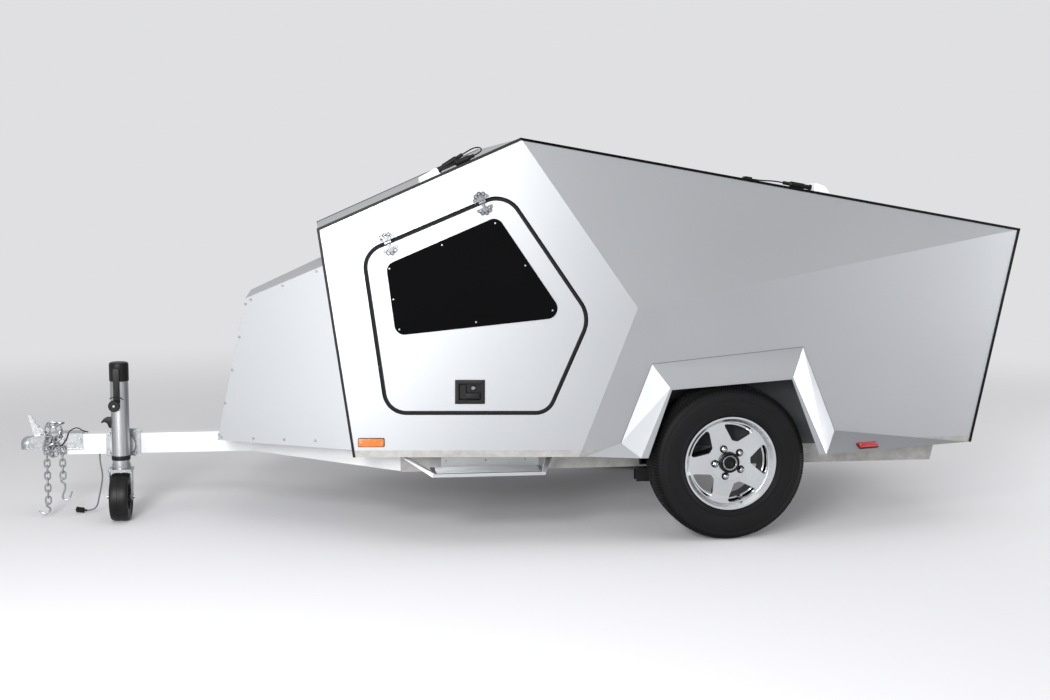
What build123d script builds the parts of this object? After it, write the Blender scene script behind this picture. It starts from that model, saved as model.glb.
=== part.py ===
from build123d import *
import os
from math import atan2, cos, degrees, radians, sin, sqrt, tan

# Teardrop trailer, mm. +Z up, front -X, left side -Y, ground at Z = 0.
# Every x below is counted from the axle line, and AXLE_X moves it to the
# middle of the overall length.

# Sizes that the rest follows
AXLE_X = 885.87
TYRE_R = 344.0
TRACK = 1549.0
HALF = TRACK / 2          # middle plane of a wheel
HUB_Z = TYRE_R
BODY_Z = HUB_Z + 41.0     # underside of the body
REACH = 2 * TRACK         # past every part, for cutting
WALL = 40.0
FLOOR_T = 30.0
SEAT = 0.3                # gap between two faces that meet
RUN = 0.05                # running clearance of a shaft in its hole
CLEAR = 0.5               # room beside a moving face

# Frame
FRAME_H = 95.0
FRAME_W = 50.0
FRAME_Z = BODY_Z - FRAME_H
RAIL_Y = HALF - 159.5
RAIL_X0, RAIL_X1 = -1430.0, 1045.0
TUBE_WALL = 4.0
TONGUE_W = 76.0
TONGUE_HALF = TONGUE_W / 2
TONGUE_X0 = -2985.0

# Seals, trim and panes
TRIM_W = 13.0
TRIM_T = 3.0
SEAL_W = 18.0
DOOR_GAP = 5.0
PANE_T = 5.0

# Wheel wells and flares
LIP_Y = HALF + 130.5
WELL_Y = RAIL_Y + 28.0
WELL_T = 4.0

# Jack
JACK_X, JACK_Y = -2692.0, -TONGUE_HALF - 89.0
JACK_TRAIL = 32.0
JACK_R = 41.0
LEG_R = 32.0
JACK_WHEEL_R = (BODY_Z - 165.0) / 2
JACK_WHEEL_W = 84.0
PIVOT_Z = BODY_Z - 50.0

# Corners of the body: x, half width, height
P1 = (-1784.0, HALF - 72.5, BODY_Z + 974.0)    # front top
P2 = (-930.0, HALF + 4.5, BODY_Z + 1361.0)     # apex
P3 = (-427.0, HALF + 75.5, BODY_Z + 645.0)     # crease, widest point
P4 = (-659.0, HALF + 66.5, BODY_Z)             # crease at the bottom
P5 = (-1640.0, HALF - 35.5, BODY_Z)            # front bottom
P6 = (1382.0, HALF - 54.5, BODY_Z + 986.0)     # rear top
P7 = (1205.0, HALF - 81.5, BODY_Z)             # rear bottom
INSIDE = (-200.0, BODY_Z + 465.0)              # a point well inside, x and z

os.makedirs("parts", exist_ok=True)
UP = Vector(0, 0, 1)
OUT_LEFT = Vector(0, -1, 0)


# Shapes for a part block
def V(x, y, z):
    return Vector(x + AXLE_X, y, z)


def block(x0, x1, y0, y1, z0, z1, mode=Mode.ADD):
    with Locations(V((x0 + x1) / 2, (y0 + y1) / 2, (z0 + z1) / 2)):
        Box(abs(x1 - x0), abs(y1 - y0), abs(z1 - z0), mode=mode)


def prism_y(rows, y0, y1, mode=Mode.ADD):
    """Prism along Y of an outline of (x, z) rows."""
    with BuildSketch(Plane(origin=V(0, max(y0, y1), 0), x_dir=(1, 0, 0), z_dir=(0, -1, 0))) as face:
        with BuildLine():
            Polyline(*rows, close=True)
        make_face()
    extrude(face.sketch, amount=abs(y1 - y0), mode=mode)


def prism_z(rows, z0, z1, mode=Mode.ADD):
    """Prism along Z of an outline of (x, y) rows."""
    with BuildSketch(Plane(origin=V(0, 0, min(z0, z1)), x_dir=(1, 0, 0), z_dir=(0, 0, 1))) as face:
        with BuildLine():
            Polyline(*rows, close=True)
        make_face()
    extrude(face.sketch, amount=abs(z1 - z0), mode=mode)


def rod(a, b, r, mode=Mode.ADD):
    a, b = V(*a), V(*b)
    with Locations(Plane(origin=a, z_dir=b - a)):
        Cylinder(r, (b - a).length, align=(Align.CENTER, Align.CENTER, Align.MIN), mode=mode)


def slab(pl, x0, x1, y0, y1, z0, z1, mode=Mode.ADD):
    """Box in a working plane's own coordinates."""
    at = pl.from_local_coords(Vector((x0 + x1) / 2, (y0 + y1) / 2, (z0 + z1) / 2))
    with Locations(Plane(origin=at, x_dir=pl.x_dir, z_dir=pl.z_dir)):
        Box(abs(x1 - x0), abs(y1 - y0), abs(z1 - z0), mode=mode)


def disc(pl, x, y, r, z0, z1, mode=Mode.ADD):
    at = pl.from_local_coords(Vector(x, y, min(z0, z1)))
    with Locations(Plane(origin=at, x_dir=pl.x_dir, z_dir=pl.z_dir)):
        Cylinder(r, abs(z1 - z0), align=(Align.CENTER, Align.CENTER, Align.MIN), mode=mode)


def pin(pl, x0, x1, y, z, r, mode=Mode.ADD):
    """Cylinder along a working plane's x direction."""
    at = pl.from_local_coords(Vector(x0, y, z))
    with Locations(Plane(origin=at, z_dir=pl.x_dir)):
        Cylinder(r, abs(x1 - x0), align=(Align.CENTER, Align.CENTER, Align.MIN), mode=mode)


def outline(pl, rows, z0, z1, mode=Mode.ADD):
    """Prism of a rounded outline: rows are x, y, corner radius."""
    with BuildSketch(pl.offset(z0)) as face:
        with BuildLine():
            FilletPolyline(*[(x, y) for x, y, r in rows], radius=[r for x, y, r in rows], close=True)
        make_face()
    extrude(face.sketch, amount=z1 - z0, mode=mode)


def turned(at, along, rows, mode=Mode.ADD):
    """Solid of revolution about an axis: rows are radius and distance along it."""
    along = along.normalized()
    with BuildSketch(Plane(origin=at, x_dir=along, z_dir=Plane(origin=at, z_dir=along).x_dir)) as face:
        with BuildLine():
            Polyline(*[(w, r) for r, w in rows], close=True)
        make_face()
    revolve(face.sketch, axis=Axis(at, along), revolution_arc=360, mode=mode)


def bend_radii(points):
    """Arc radius at each inner point of a route, 0.45 of the shorter run over the half turn's tangent."""
    radii = []
    for before, here, after in zip(points, points[1:], points[2:]):
        a, b = here - before, after - here
        radii.append(0.45 * min(a.length, b.length) / tan(radians(a.get_angle(b)) / 2))
    return radii


def bent_rod(points, r, sides=8, mode=Mode.ADD):
    """Round wire or cord along a route of points, with arcs at its corners."""
    with BuildLine() as route:
        FilletPolyline(*points, radius=bend_radii(points))
    with BuildSketch(Plane(origin=points[0], z_dir=points[1] - points[0])) as section:
        RegularPolygon(r, sides)
    sweep(section.sketch, path=route.wires()[0], mode=mode)


def polyhedron(points, faces, mode=Mode.ADD):
    pts = [V(*p) for p in points]
    add(Solid(Shell([Face(Wire.make_polygon([pts[i] for i in f], close=True)) for f in faces])), mode=mode)


def keep_in(*planes):
    for p in planes:
        split(bisect_by=p, keep=Keep.BOTTOM)


def keep_out(*planes):
    for p in planes:
        split(bisect_by=p, keep=Keep.TOP)


def cutting_room():
    """Block round the whole trailer, to be cut down."""
    block(-REACH, REACH, -REACH, REACH, -REACH, REACH)


# Planes of the body
def facet(a, b, c, side, inset=0.0):
    p = [V(x, side * w, z) for x, w, z in (a, b, c)]
    n = (p[1] - p[0]).cross(p[2] - p[0]).normalized()
    if n.Y * side < 0:
        n = n * -1
    return Plane(origin=p[0] - n * inset, z_dir=n)


def across(a, b, inset=0.0):
    """Plane along Y through two corners, facing away from the inside."""
    n = Vector(a[2] - b[2], 0, b[0] - a[0]).normalized()
    if n.dot(Vector(a[0] - INSIDE[0], 0, a[2] - INSIDE[1])) < 0:
        n = n * -1
    return Plane(origin=V(a[0], 0, a[2]) - n * inset, z_dir=n)


def crease(a, b):
    """Plane along Y through two corners, facing the rear (or up, if level)."""
    n = Vector(a[2] - b[2], 0, b[0] - a[0]).normalized()
    if (n.Z if abs(n.Z) > 0.8 else n.X) < 0:
        n = n * -1
    return Plane(origin=V(a[0], 0, a[2]), z_dir=n)


def level(z):
    return Plane(origin=(0, 0, z), z_dir=(0, 0, 1))


def door_plane(side, i=0.0):
    return facet(P1, P2, P3, side, i)


def lower_plane(side, i=0.0):
    return facet(P3, P4, P6, side, i)


def sides(side, i=0.0):
    return [door_plane(side, i), facet(P2, P3, P6, side, i), lower_plane(side, i)]


def front_plane(i=0.0):
    return across(P5, P1, i)


def roof_front_plane(i=0.0):
    return across(P1, P2, i)


def roof_rear_plane(i=0.0):
    return across(P2, P6, i)


def rear_plane(i=0.0):
    return across(P6, P7, i)


def ends(i=0.0):
    return [front_plane(i), roof_front_plane(i), roof_rear_plane(i), rear_plane(i)]


def face_frame(pl, corner):
    """Working plane on a facet: origin at a corner, x level, y up the facet."""
    up = (UP - pl.z_dir * pl.z_dir.Z).normalized()
    on = corner - pl.z_dir * (corner - pl.origin).dot(pl.z_dir)
    return Plane(origin=on, x_dir=up.cross(pl.z_dir), z_dir=pl.z_dir)


def grow(rows, d):
    """Rounded outline moved outwards by d (inwards if negative)."""
    smallest = 6.0
    out = []
    for i, (x, y, r) in enumerate(rows):
        p = Vector(x, y)
        a = (Vector(*rows[i - 1][:2]) - p).normalized()
        b = (Vector(*rows[(i + 1) % len(rows)][:2]) - p).normalized()
        q = p - (a + b).normalized() * (d / sin(radians(a.get_angle(b) / 2)))
        out.append((q.X, q.Y, max(r + d, smallest)))
    return out


DOOR_PL = face_frame(door_plane(-1), V(P5[0], -P5[1], P5[2]))
REAR_PL = face_frame(rear_plane(), V(P7[0], 0, P7[2]))
ROOF_FRONT_PL = face_frame(roof_front_plane(), V(P1[0], 0, P1[2]))
ROOF_REAR_PL = face_frame(roof_rear_plane(), V(P6[0], 0, P6[2]))

# Wheel arch: (x, height over the underside) of the outline on the facet, the
# flare's lip and the well
ARCH = [(-488.0, 55.0), (-357.0, 400.0), (346.0, 462.0), (518.0, 77.0)]
LIP = [(-415.0, 0.0), (-292.0, 304.0), (259.0, 344.0), (422.0, 0.0)]
WELL = [(-455.0, -1.0), (-335.0, 367.0), (328.0, 426.0), (484.0, -1.0)]
WELL_INNER = [(-455.0 + WELL_T, -2.0), (-335.0 + WELL_T * 0.7, 367.0 - WELL_T),
              (328.0 - WELL_T * 0.7, 426.0 - WELL_T), (484.0 - WELL_T, -2.0)]


def over_body(rows):
    return [(x, BODY_Z + h) for x, h in rows]


# Body shell and its panels
with BuildPart() as shell:
    cutting_room()
    keep_in(*ends(), *sides(-1), *sides(1))
    keep_out(level(BODY_Z))
with BuildPart() as wells:
    prism_y(over_body(WELL), -WELL_Y, -REACH)
    mirror(about=Plane.XZ)
with BuildPart() as cabin_block:
    add(shell.part)
    keep_out(level(BODY_Z + FLOOR_T))
    keep_in(*sides(-1, WALL), *sides(1, WALL))
with BuildPart() as side_shell:
    add(shell.part)
    keep_out(level(BODY_Z + FLOOR_T))
with BuildPart() as side_core:
    add(side_shell.part)
    keep_in(*sides(-1, WALL))
with BuildPart() as side_wall:
    add(side_shell.part)
    add(side_core.part, mode=Mode.SUBTRACT)

with BuildPart() as floor:
    add(shell.part)
    keep_in(level(BODY_Z + FLOOR_T))
    add(wells.part, mode=Mode.SUBTRACT)
floor.part.label = "floor"
export_step(floor.part, "parts/floor.step")

with BuildPart() as front_wall:
    add(cabin_block.part)
    keep_out(front_plane(WALL))
front_wall.part.label = "front_wall"
export_step(front_wall.part, "parts/front_wall.step")

with BuildPart() as roof_front:
    add(cabin_block.part)
    keep_in(front_plane(WALL))
    keep_out(roof_front_plane(WALL))
roof_front.part.label = "roof_front"
export_step(roof_front.part, "parts/roof_front.step")

with BuildPart() as roof_rear:
    add(cabin_block.part)
    keep_in(rear_plane(WALL), roof_front_plane(WALL))
    keep_out(roof_rear_plane(WALL))
roof_rear.part.label = "roof_rear"
export_step(roof_rear.part, "parts/roof_rear.step")

# Doors: seal centre line, window and latch on the door facet (x, y, corner radius)
DOOR = [(45.0, 874.0, 98.0), (648.0, 1135.0, 112.0), (1013.0, 607.0, 130.0),
        (835.0, 192.0, 82.0), (144.0, 192.0, 95.0)]
WINDOW = [(141.0, 825.0, 42.0), (613.0, 1033.0, 42.0), (906.0, 606.0, 46.0), (182.0, 524.0, 42.0)]
WINDOW_LAP = 26.0
LATCH_X0, LATCH_X1, LATCH_Y0, LATCH_Y1 = 438.0, 558.0, 235.0, 331.0
LATCH_RIM = 12.0
LEAF = grow(DOOR, -SEAL_W / 2)
THROUGH = 60.0            # how far a cut passes a panel's faces

with BuildPart() as front_facet:
    add(side_wall.part)
    keep_in(crease(P2, P3), crease(P3, P4))
with BuildPart() as rear_facets:
    add(side_wall.part)
    add(front_facet.part, mode=Mode.SUBTRACT)

with BuildPart() as side_front_left:
    add(front_facet.part)
    outline(DOOR_PL, grow(DOOR, SEAL_W / 2), -WALL - THROUGH, THROUGH, Mode.SUBTRACT)
side_front_left.part.label = "side_front_left"
export_step(side_front_left.part, "parts/side_front_left.step")
with BuildPart() as side_front_right:
    mirror(side_front_left.part, about=Plane.XZ)
side_front_right.part.label = "side_front_right"
export_step(side_front_right.part, "parts/side_front_right.step")

with BuildPart() as side_upper_left:
    add(rear_facets.part)
    keep_out(crease(P3, P6))
side_upper_left.part.label = "side_upper_left"
export_step(side_upper_left.part, "parts/side_upper_left.step")
with BuildPart() as side_upper_right:
    mirror(side_upper_left.part, about=Plane.XZ)
side_upper_right.part.label = "side_upper_right"
export_step(side_upper_right.part, "parts/side_upper_right.step")

with BuildPart() as side_lower_left:
    add(rear_facets.part)
    keep_in(crease(P3, P6))
    prism_y(over_body(WELL), -WELL_Y, -REACH, Mode.SUBTRACT)
side_lower_left.part.label = "side_lower_left"
export_step(side_lower_left.part, "parts/side_lower_left.step")
with BuildPart() as side_lower_right:
    mirror(side_lower_left.part, about=Plane.XZ)
side_lower_right.part.label = "side_lower_right"
export_step(side_lower_right.part, "parts/side_lower_right.step")

with BuildPart() as door_left:
    outline(DOOR_PL, LEAF, -WALL, 0)
    outline(DOOR_PL, grow(WINDOW, -WINDOW_LAP), -WALL - THROUGH, THROUGH, Mode.SUBTRACT)
    slab(DOOR_PL, LATCH_X0, LATCH_X1, LATCH_Y0, LATCH_Y1, -WALL - THROUGH, THROUGH, Mode.SUBTRACT)
door_left.part.label = "door_left"
export_step(door_left.part, "parts/door_left.step")
with BuildPart() as door_right:
    mirror(door_left.part, about=Plane.XZ)
door_right.part.label = "door_right"
export_step(door_right.part, "parts/door_right.step")

SEAL_IN, SEAL_DEEP = 1.0, 14.0     # below the skin
with BuildPart() as door_seal_left:
    outline(DOOR_PL, grow(DOOR, SEAL_W / 2 - DOOR_GAP), -SEAL_DEEP, -SEAL_IN)
    outline(DOOR_PL, LEAF, -THROUGH, THROUGH, Mode.SUBTRACT)
door_seal_left.part.label = "door_seal_left"
export_step(door_seal_left.part, "parts/door_seal_left.step")
with BuildPart() as door_seal_right:
    mirror(door_seal_left.part, about=Plane.XZ)
door_seal_right.part.label = "door_seal_right"
export_step(door_seal_right.part, "parts/door_seal_right.step")

with BuildPart() as door_window_left:
    outline(DOOR_PL, WINDOW, 0, PANE_T)
door_window_left.part.label = "door_window_left"
export_step(door_window_left.part, "parts/door_window_left.step")
with BuildPart() as door_window_right:
    mirror(door_window_left.part, about=Plane.XZ)
door_window_right.part.label = "door_window_right"
export_step(door_window_right.part, "parts/door_window_right.step")

# Paddle latch: a rimmed cup with the paddle and its key boss inside
CUP_X0, CUP_X1 = LATCH_X0 + LATCH_RIM, LATCH_X1 - LATCH_RIM
CUP_Y0, CUP_Y1 = LATCH_Y0 + LATCH_RIM, LATCH_Y1 - LATCH_RIM
CUP_DEEP = 22.0
with BuildPart() as door_latch_left:
    slab(DOOR_PL, LATCH_X0, LATCH_X1, LATCH_Y0, LATCH_Y1, -WALL, 0)
    slab(DOOR_PL, LATCH_X0 - 4, LATCH_X1 + 4, LATCH_Y0 - 4, LATCH_Y1 + 4, 0, 3)
    slab(DOOR_PL, CUP_X0, CUP_X1, CUP_Y0, CUP_Y1, -CUP_DEEP, THROUGH, Mode.SUBTRACT)
    slab(DOOR_PL, CUP_X0 + 30, CUP_X1 - 4, CUP_Y0 + 6, CUP_Y0 + 30, -CUP_DEEP, -3)
    slab(DOOR_PL, CUP_X0 + 5, CUP_X0 + 30, CUP_Y0 + 6, CUP_Y1 - 6, -CUP_DEEP, -9)
    disc(DOOR_PL, CUP_X0 + 62, CUP_Y1 - 20, 10, -CUP_DEEP, -7)
door_latch_left.part.label = "door_latch_left"
export_step(door_latch_left.part, "parts/door_latch_left.step")
with BuildPart() as door_latch_right:
    mirror(door_latch_left.part, about=Plane.XZ)
door_latch_right.part.label = "door_latch_right"
export_step(door_latch_right.part, "parts/door_latch_right.step")

# Hinges along the slanted top seal line, their pins a little proud of the skin
HINGE_AT = (149.0, 548.0)
HINGE_H = 9.0             # pin's height over the skin
HINGE_R = 7.0
PIN_R = 3.5
HINGE_LEAF_T = 4.0
STRAP_Z0, STRAP_Z1 = HINGE_H - 7, HINGE_H - 2
KNUCKLE = 6.5             # half width of the moving knuckle
LUG_IN, LUG_OUT = 7.0, 15.0
SHELL_R = 26.0            # middle line of a leaf's scallops
SCALLOP_R = 11.0
SCALLOPS = (12.0, 51.0, 90.0, 129.0, 168.0)
LEAF_UP, LEAF_DOWN = 11.0, -22.0
RISE = Vector(DOOR[1][0] - DOOR[0][0], DOOR[1][1] - DOOR[0][1])
RISE_X = RISE.normalized()
HINGE_PL = Plane(origin=DOOR_PL.from_local_coords(Vector(DOOR[0][0], DOOR[0][1], 0)),
                 x_dir=DOOR_PL.x_dir * RISE_X.X + DOOR_PL.y_dir * RISE_X.Y, z_dir=DOOR_PL.z_dir)
HINGE_S = [(x - DOOR[0][0]) / RISE_X.X for x in HINGE_AT]


def shell_leaf(s, y, away):
    """Scalloped half-round leaf whose straight edge is at y; away is the side it spreads to."""
    disc(HINGE_PL, s, y, SHELL_R, 0, HINGE_LEAF_T)
    for turn in SCALLOPS:
        reach, rise = SHELL_R * cos(radians(turn)), SHELL_R * sin(radians(turn))
        disc(HINGE_PL, s + reach, y + away * rise, SCALLOP_R, 0, HINGE_LEAF_T)
    far = SHELL_R + SCALLOP_R + 1
    slab(HINGE_PL, s - far, s + far, y, y - away * far, -1, HINGE_LEAF_T + 1, Mode.SUBTRACT)


with BuildPart() as door_hinges_left:
    for s in HINGE_S:
        shell_leaf(s, LEAF_DOWN, -1)
        slab(HINGE_PL, s - KNUCKLE, s + KNUCKLE, LEAF_DOWN - 20, -1, STRAP_Z0, STRAP_Z1)
        pin(HINGE_PL, s - KNUCKLE, s + KNUCKLE, 0, HINGE_H, HINGE_R)
        pin(HINGE_PL, s - LUG_OUT, s + LUG_OUT, 0, HINGE_H, PIN_R + RUN, Mode.SUBTRACT)
door_hinges_left.part.label = "door_hinges_left"
export_step(door_hinges_left.part, "parts/door_hinges_left.step")
with BuildPart() as door_hinges_right:
    mirror(door_hinges_left.part, about=Plane.XZ)
door_hinges_right.part.label = "door_hinges_right"
export_step(door_hinges_right.part, "parts/door_hinges_right.step")

# Rear hatch, on the rear face (x across, y up the slope from the bottom)
REAR_H = sqrt((P6[0] - P7[0]) ** 2 + (P6[2] - P7[2]) ** 2)
HATCH_LOW, HATCH_HIGH = P7[1] - 133.0, P6[1] - 145.0
HATCH = [(-HATCH_LOW, 90.0, 60.0), (HATCH_LOW, 90.0, 60.0),
         (HATCH_HIGH, REAR_H - 62.0, 60.0), (-HATCH_HIGH, REAR_H - 62.0, 60.0)]
HATCH_TOP = HATCH[2][1]
HATCH_HINGES = (300.0 - P6[1], 0.0, P6[1] - 300.0)
HATCH_KNUCKLE = 20.0
HATCH_LUG = (25.0, 42.0)

with BuildPart() as hinge_mounts:
    for s in HINGE_S:
        shell_leaf(s, LEAF_UP, 1)
        for e in (-1, 1):
            u0, u1 = sorted((s + e * LUG_IN, s + e * LUG_OUT))
            slab(HINGE_PL, u0, u1, 1, LEAF_UP + 12, STRAP_Z0, STRAP_Z1)
            pin(HINGE_PL, u0, u1, 0, HINGE_H, HINGE_R)
        pin(HINGE_PL, s - LUG_OUT, s + LUG_OUT, 0, HINGE_H, PIN_R)
    mirror(about=Plane.XZ)
    for s in HATCH_HINGES:
        for e in (-1, 1):
            u0, u1 = sorted((s + e * HATCH_LUG[0], s + e * HATCH_LUG[1]))
            slab(REAR_PL, u0, u1, HATCH_TOP + 1, HATCH_TOP + 30, STRAP_Z0, STRAP_Z1)
            pin(REAR_PL, u0, u1, HATCH_TOP, HINGE_H, HINGE_R)
        slab(REAR_PL, s - HATCH_LUG[1], s + HATCH_LUG[1], HATCH_TOP + 12, HATCH_TOP + 44, 0, HINGE_LEAF_T)
        pin(REAR_PL, s - HATCH_LUG[1], s + HATCH_LUG[1], HATCH_TOP, HINGE_H, PIN_R)
hinge_mounts.part.label = "hinge_mounts"
export_step(hinge_mounts.part, "parts/hinge_mounts.step")

with BuildPart() as rear_frame:
    add(cabin_block.part)
    keep_in(front_plane(WALL))
    keep_out(rear_plane(WALL))
    outline(REAR_PL, grow(HATCH, SEAL_W / 2), -WALL - THROUGH, THROUGH, Mode.SUBTRACT)
rear_frame.part.label = "rear_frame"
export_step(rear_frame.part, "parts/rear_frame.step")
with BuildPart() as hatch:
    outline(REAR_PL, grow(HATCH, -SEAL_W / 2), -WALL, 0)
hatch.part.label = "hatch"
export_step(hatch.part, "parts/hatch.step")
with BuildPart() as hatch_seal:
    outline(REAR_PL, grow(HATCH, SEAL_W / 2 - DOOR_GAP), -SEAL_DEEP, -SEAL_IN)
    outline(REAR_PL, grow(HATCH, -SEAL_W / 2), -THROUGH, THROUGH, Mode.SUBTRACT)
hatch_seal.part.label = "hatch_seal"
export_step(hatch_seal.part, "parts/hatch_seal.step")
with BuildPart() as hatch_hinges:
    for s in HATCH_HINGES:
        slab(REAR_PL, s - HATCH_KNUCKLE, s + HATCH_KNUCKLE, HATCH_TOP - 30, HATCH_TOP - 1, STRAP_Z0, STRAP_Z1)
        slab(REAR_PL, s - HATCH_LUG[1], s + HATCH_LUG[1], HATCH_TOP - 46, HATCH_TOP - 14, 0, HINGE_LEAF_T)
        pin(REAR_PL, s - HATCH_KNUCKLE, s + HATCH_KNUCKLE, HATCH_TOP, HINGE_H, HINGE_R)
        bore_half = HATCH_LUG[1] + 3
        pin(REAR_PL, s - bore_half, s + bore_half, HATCH_TOP, HINGE_H, PIN_R + RUN, Mode.SUBTRACT)
hatch_hinges.part.label = "hatch_hinges"
export_step(hatch_hinges.part, "parts/hatch_hinges.step")

# Hatch handle: a bar on two feet
HANDLE_Y, HANDLE_HALF, HANDLE_OUT = 145.0, 52.0, 34.0
with BuildPart() as hatch_handle:
    slab(REAR_PL, -HANDLE_HALF - 10, HANDLE_HALF + 10, HANDLE_Y - 20, HANDLE_Y + 20, 0, 3)
    for u in (-HANDLE_HALF + 6, HANDLE_HALF - 6):
        slab(REAR_PL, u - 6, u + 6, HANDLE_Y - 7, HANDLE_Y + 7, 2, HANDLE_OUT - 8)
    slab(REAR_PL, -HANDLE_HALF, HANDLE_HALF, HANDLE_Y - 7, HANDLE_Y + 7, HANDLE_OUT - 10, HANDLE_OUT)
hatch_handle.part.label = "hatch_handle"
export_step(hatch_handle.part, "parts/hatch_handle.step")

# Black edge trim: a thin skin round the body, left only near its end edges
with BuildPart() as trim_inner:
    cutting_room()
    keep_in(*ends(TRIM_W))
with BuildPart() as trim_middle:
    cutting_room()
    keep_in(*sides(-1, TRIM_W))
with BuildPart() as edge_trim:
    cutting_room()
    keep_in(*ends(-TRIM_T), *sides(-1, -TRIM_T), *sides(1, -TRIM_T))
    keep_out(level(BODY_Z))
    add(shell.part, mode=Mode.SUBTRACT)
    add(trim_inner.part, mode=Mode.SUBTRACT)
    add(trim_middle.part, mode=Mode.SUBTRACT)
    mirror(about=Plane.XZ)
edge_trim.part.label = "edge_trim"
export_step(edge_trim.part, "parts/edge_trim.step")

# Wheel wells and flares
with BuildPart() as wheel_wells:
    prism_y(over_body(WELL), -WELL_Y, -REACH)
    prism_y(over_body(WELL_INNER), -WELL_Y - WELL_T, -REACH - 1, Mode.SUBTRACT)
    keep_in(lower_plane(-1))
    keep_out(level(BODY_Z))
    mirror(about=Plane.XZ)
wheel_wells.part.label = "wheel_wells"
export_step(wheel_wells.part, "parts/wheel_wells.step")

LOWER_PL = lower_plane(-1)


def on_lower(x, z):
    """A point of the left lower facet at (x, z)."""
    n, o = LOWER_PL.z_dir, LOWER_PL.origin
    return (x, o.Y - (n.X * (x + AXLE_X - o.X) + n.Z * (z - o.Z)) / n.Y, z)


def on_lip(x, z):
    return (x, -LIP_Y, z)


FOOT_IN = 14.0
FOOT_FRONT = (P4[0] + FOOT_IN, BODY_Z)
FOOT_REAR = (P7[0] - FOOT_IN, BODY_Z)
# 0 front foot, 1 to 4 arch, 5 rear foot, 6 to 9 lip
flare_points = [on_lower(*p) for p in [FOOT_FRONT, *over_body(ARCH), FOOT_REAR]]
flare_points += [on_lip(*p) for p in over_body(LIP)]
FLARE_FACES = [(0, 1, 2, 3, 4, 5), (6, 7, 8, 9), (0, 5, 9, 6), (0, 6, 1), (1, 6, 7), (1, 7, 2), (2, 7, 8),
               (2, 8, 3), (3, 8, 9), (3, 9, 4), (4, 9, 5)]
# room inside a flare: mouth at the well, then at the lip (x, height over the underside)
ROOM_WELL = [(-488.0, -40.0), (-352.0, 415.0), (340.0, 477.0), (520.0, -40.0)]
ROOM_LIP = [(-396.0, -40.0), (-284.0, 295.0), (252.0, 334.0), (404.0, -40.0)]
room_points = [(x, -RAIL_Y - 85, z) for x, z in over_body(ROOM_WELL)]
room_points += [(x, -LIP_Y - 1, z) for x, z in over_body(ROOM_LIP)]
ROOM_FACES = [(0, 1, 2, 3), (4, 5, 6, 7), (0, 1, 5), (0, 5, 4), (1, 2, 6), (1, 6, 5), (2, 3, 7), (2, 7, 6),
              (3, 0, 4), (3, 4, 7)]
with BuildPart() as flares:
    polyhedron(flare_points, FLARE_FACES)
    polyhedron(room_points, ROOM_FACES, Mode.SUBTRACT)
    mirror(about=Plane.XZ)
flares.part.label = "flares"
export_step(flares.part, "parts/flares.step")

# Chassis
TUBE_X0, TUBE_X1 = -354.0, -308.0
TUBE_Z0, TUBE_Z1 = FRAME_Z + 14.0, FRAME_Z + 60.0
TUBE_Y = RAIL_Y + 25.0
CROSS_AT = (RAIL_X0, -760.0, 330.0, 960.0)
RAIL_SLANT = radians(12)
rail_end = Plane(origin=V(RAIL_X1, 0, FRAME_Z), z_dir=(cos(RAIL_SLANT), 0, -sin(RAIL_SLANT)))
with BuildPart() as rails:
    block(RAIL_X0, REACH, -RAIL_Y, -RAIL_Y + FRAME_W, FRAME_Z, BODY_Z)
    keep_in(rail_end)
    block(RAIL_X0 - 1, REACH, -RAIL_Y + TUBE_WALL, -RAIL_Y + FRAME_W - TUBE_WALL, FRAME_Z + TUBE_WALL,
          BODY_Z - TUBE_WALL, Mode.SUBTRACT)
    block(TUBE_X0, TUBE_X1, -REACH, REACH, TUBE_Z0, TUBE_Z1, Mode.SUBTRACT)
    mirror(about=Plane.XZ)
rails.part.label = "rails"
export_step(rails.part, "parts/rails.step")

TONGUE_WALL = 5.0
with BuildPart() as tongue:
    block(TONGUE_X0, RAIL_X0, -TONGUE_HALF, TONGUE_HALF, FRAME_Z, BODY_Z)
    block(TONGUE_X0 - 1, RAIL_X0 + 1, -TONGUE_HALF + TONGUE_WALL, TONGUE_HALF - TONGUE_WALL,
          FRAME_Z + TONGUE_WALL, BODY_Z - TONGUE_WALL, Mode.SUBTRACT)
tongue.part.label = "tongue"
export_step(tongue.part, "parts/tongue.step")

with BuildPart() as crossmembers:
    for x in CROSS_AT:
        block(x, x + FRAME_W, -RAIL_Y + FRAME_W, RAIL_Y - FRAME_W, FRAME_Z, BODY_Z)
crossmembers.part.label = "crossmembers"
export_step(crossmembers.part, "parts/crossmembers.step")

# A-frame: one slanted tube each side, from the tongue to the first cross-member
A_FRONT = Vector(-2060.0, -TONGUE_HALF - 2.0)
A_REAR = Vector(RAIL_X0 + 30.0, -RAIL_Y + FRAME_W / 2)
A_RUN = (A_REAR - A_FRONT).normalized()
A_SIDE = Vector(-A_RUN.Y, A_RUN.X) * (FRAME_W / 2)
A_PAST = A_RUN * 60.0
with BuildPart() as a_frame:
    prism_z([(p.X, p.Y) for p in (A_FRONT - A_PAST + A_SIDE, A_FRONT - A_PAST - A_SIDE,
                                  A_REAR + A_PAST - A_SIDE, A_REAR + A_PAST + A_SIDE)], FRAME_Z, BODY_Z)
    block(-REACH, REACH, -TONGUE_HALF, REACH, -REACH, REACH, Mode.SUBTRACT)
    block(RAIL_X0, REACH, -REACH, REACH, -REACH, REACH, Mode.SUBTRACT)
    mirror(about=Plane.XZ)
a_frame.part.label = "a_frame"
export_step(a_frame.part, "parts/a_frame.step")

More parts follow.
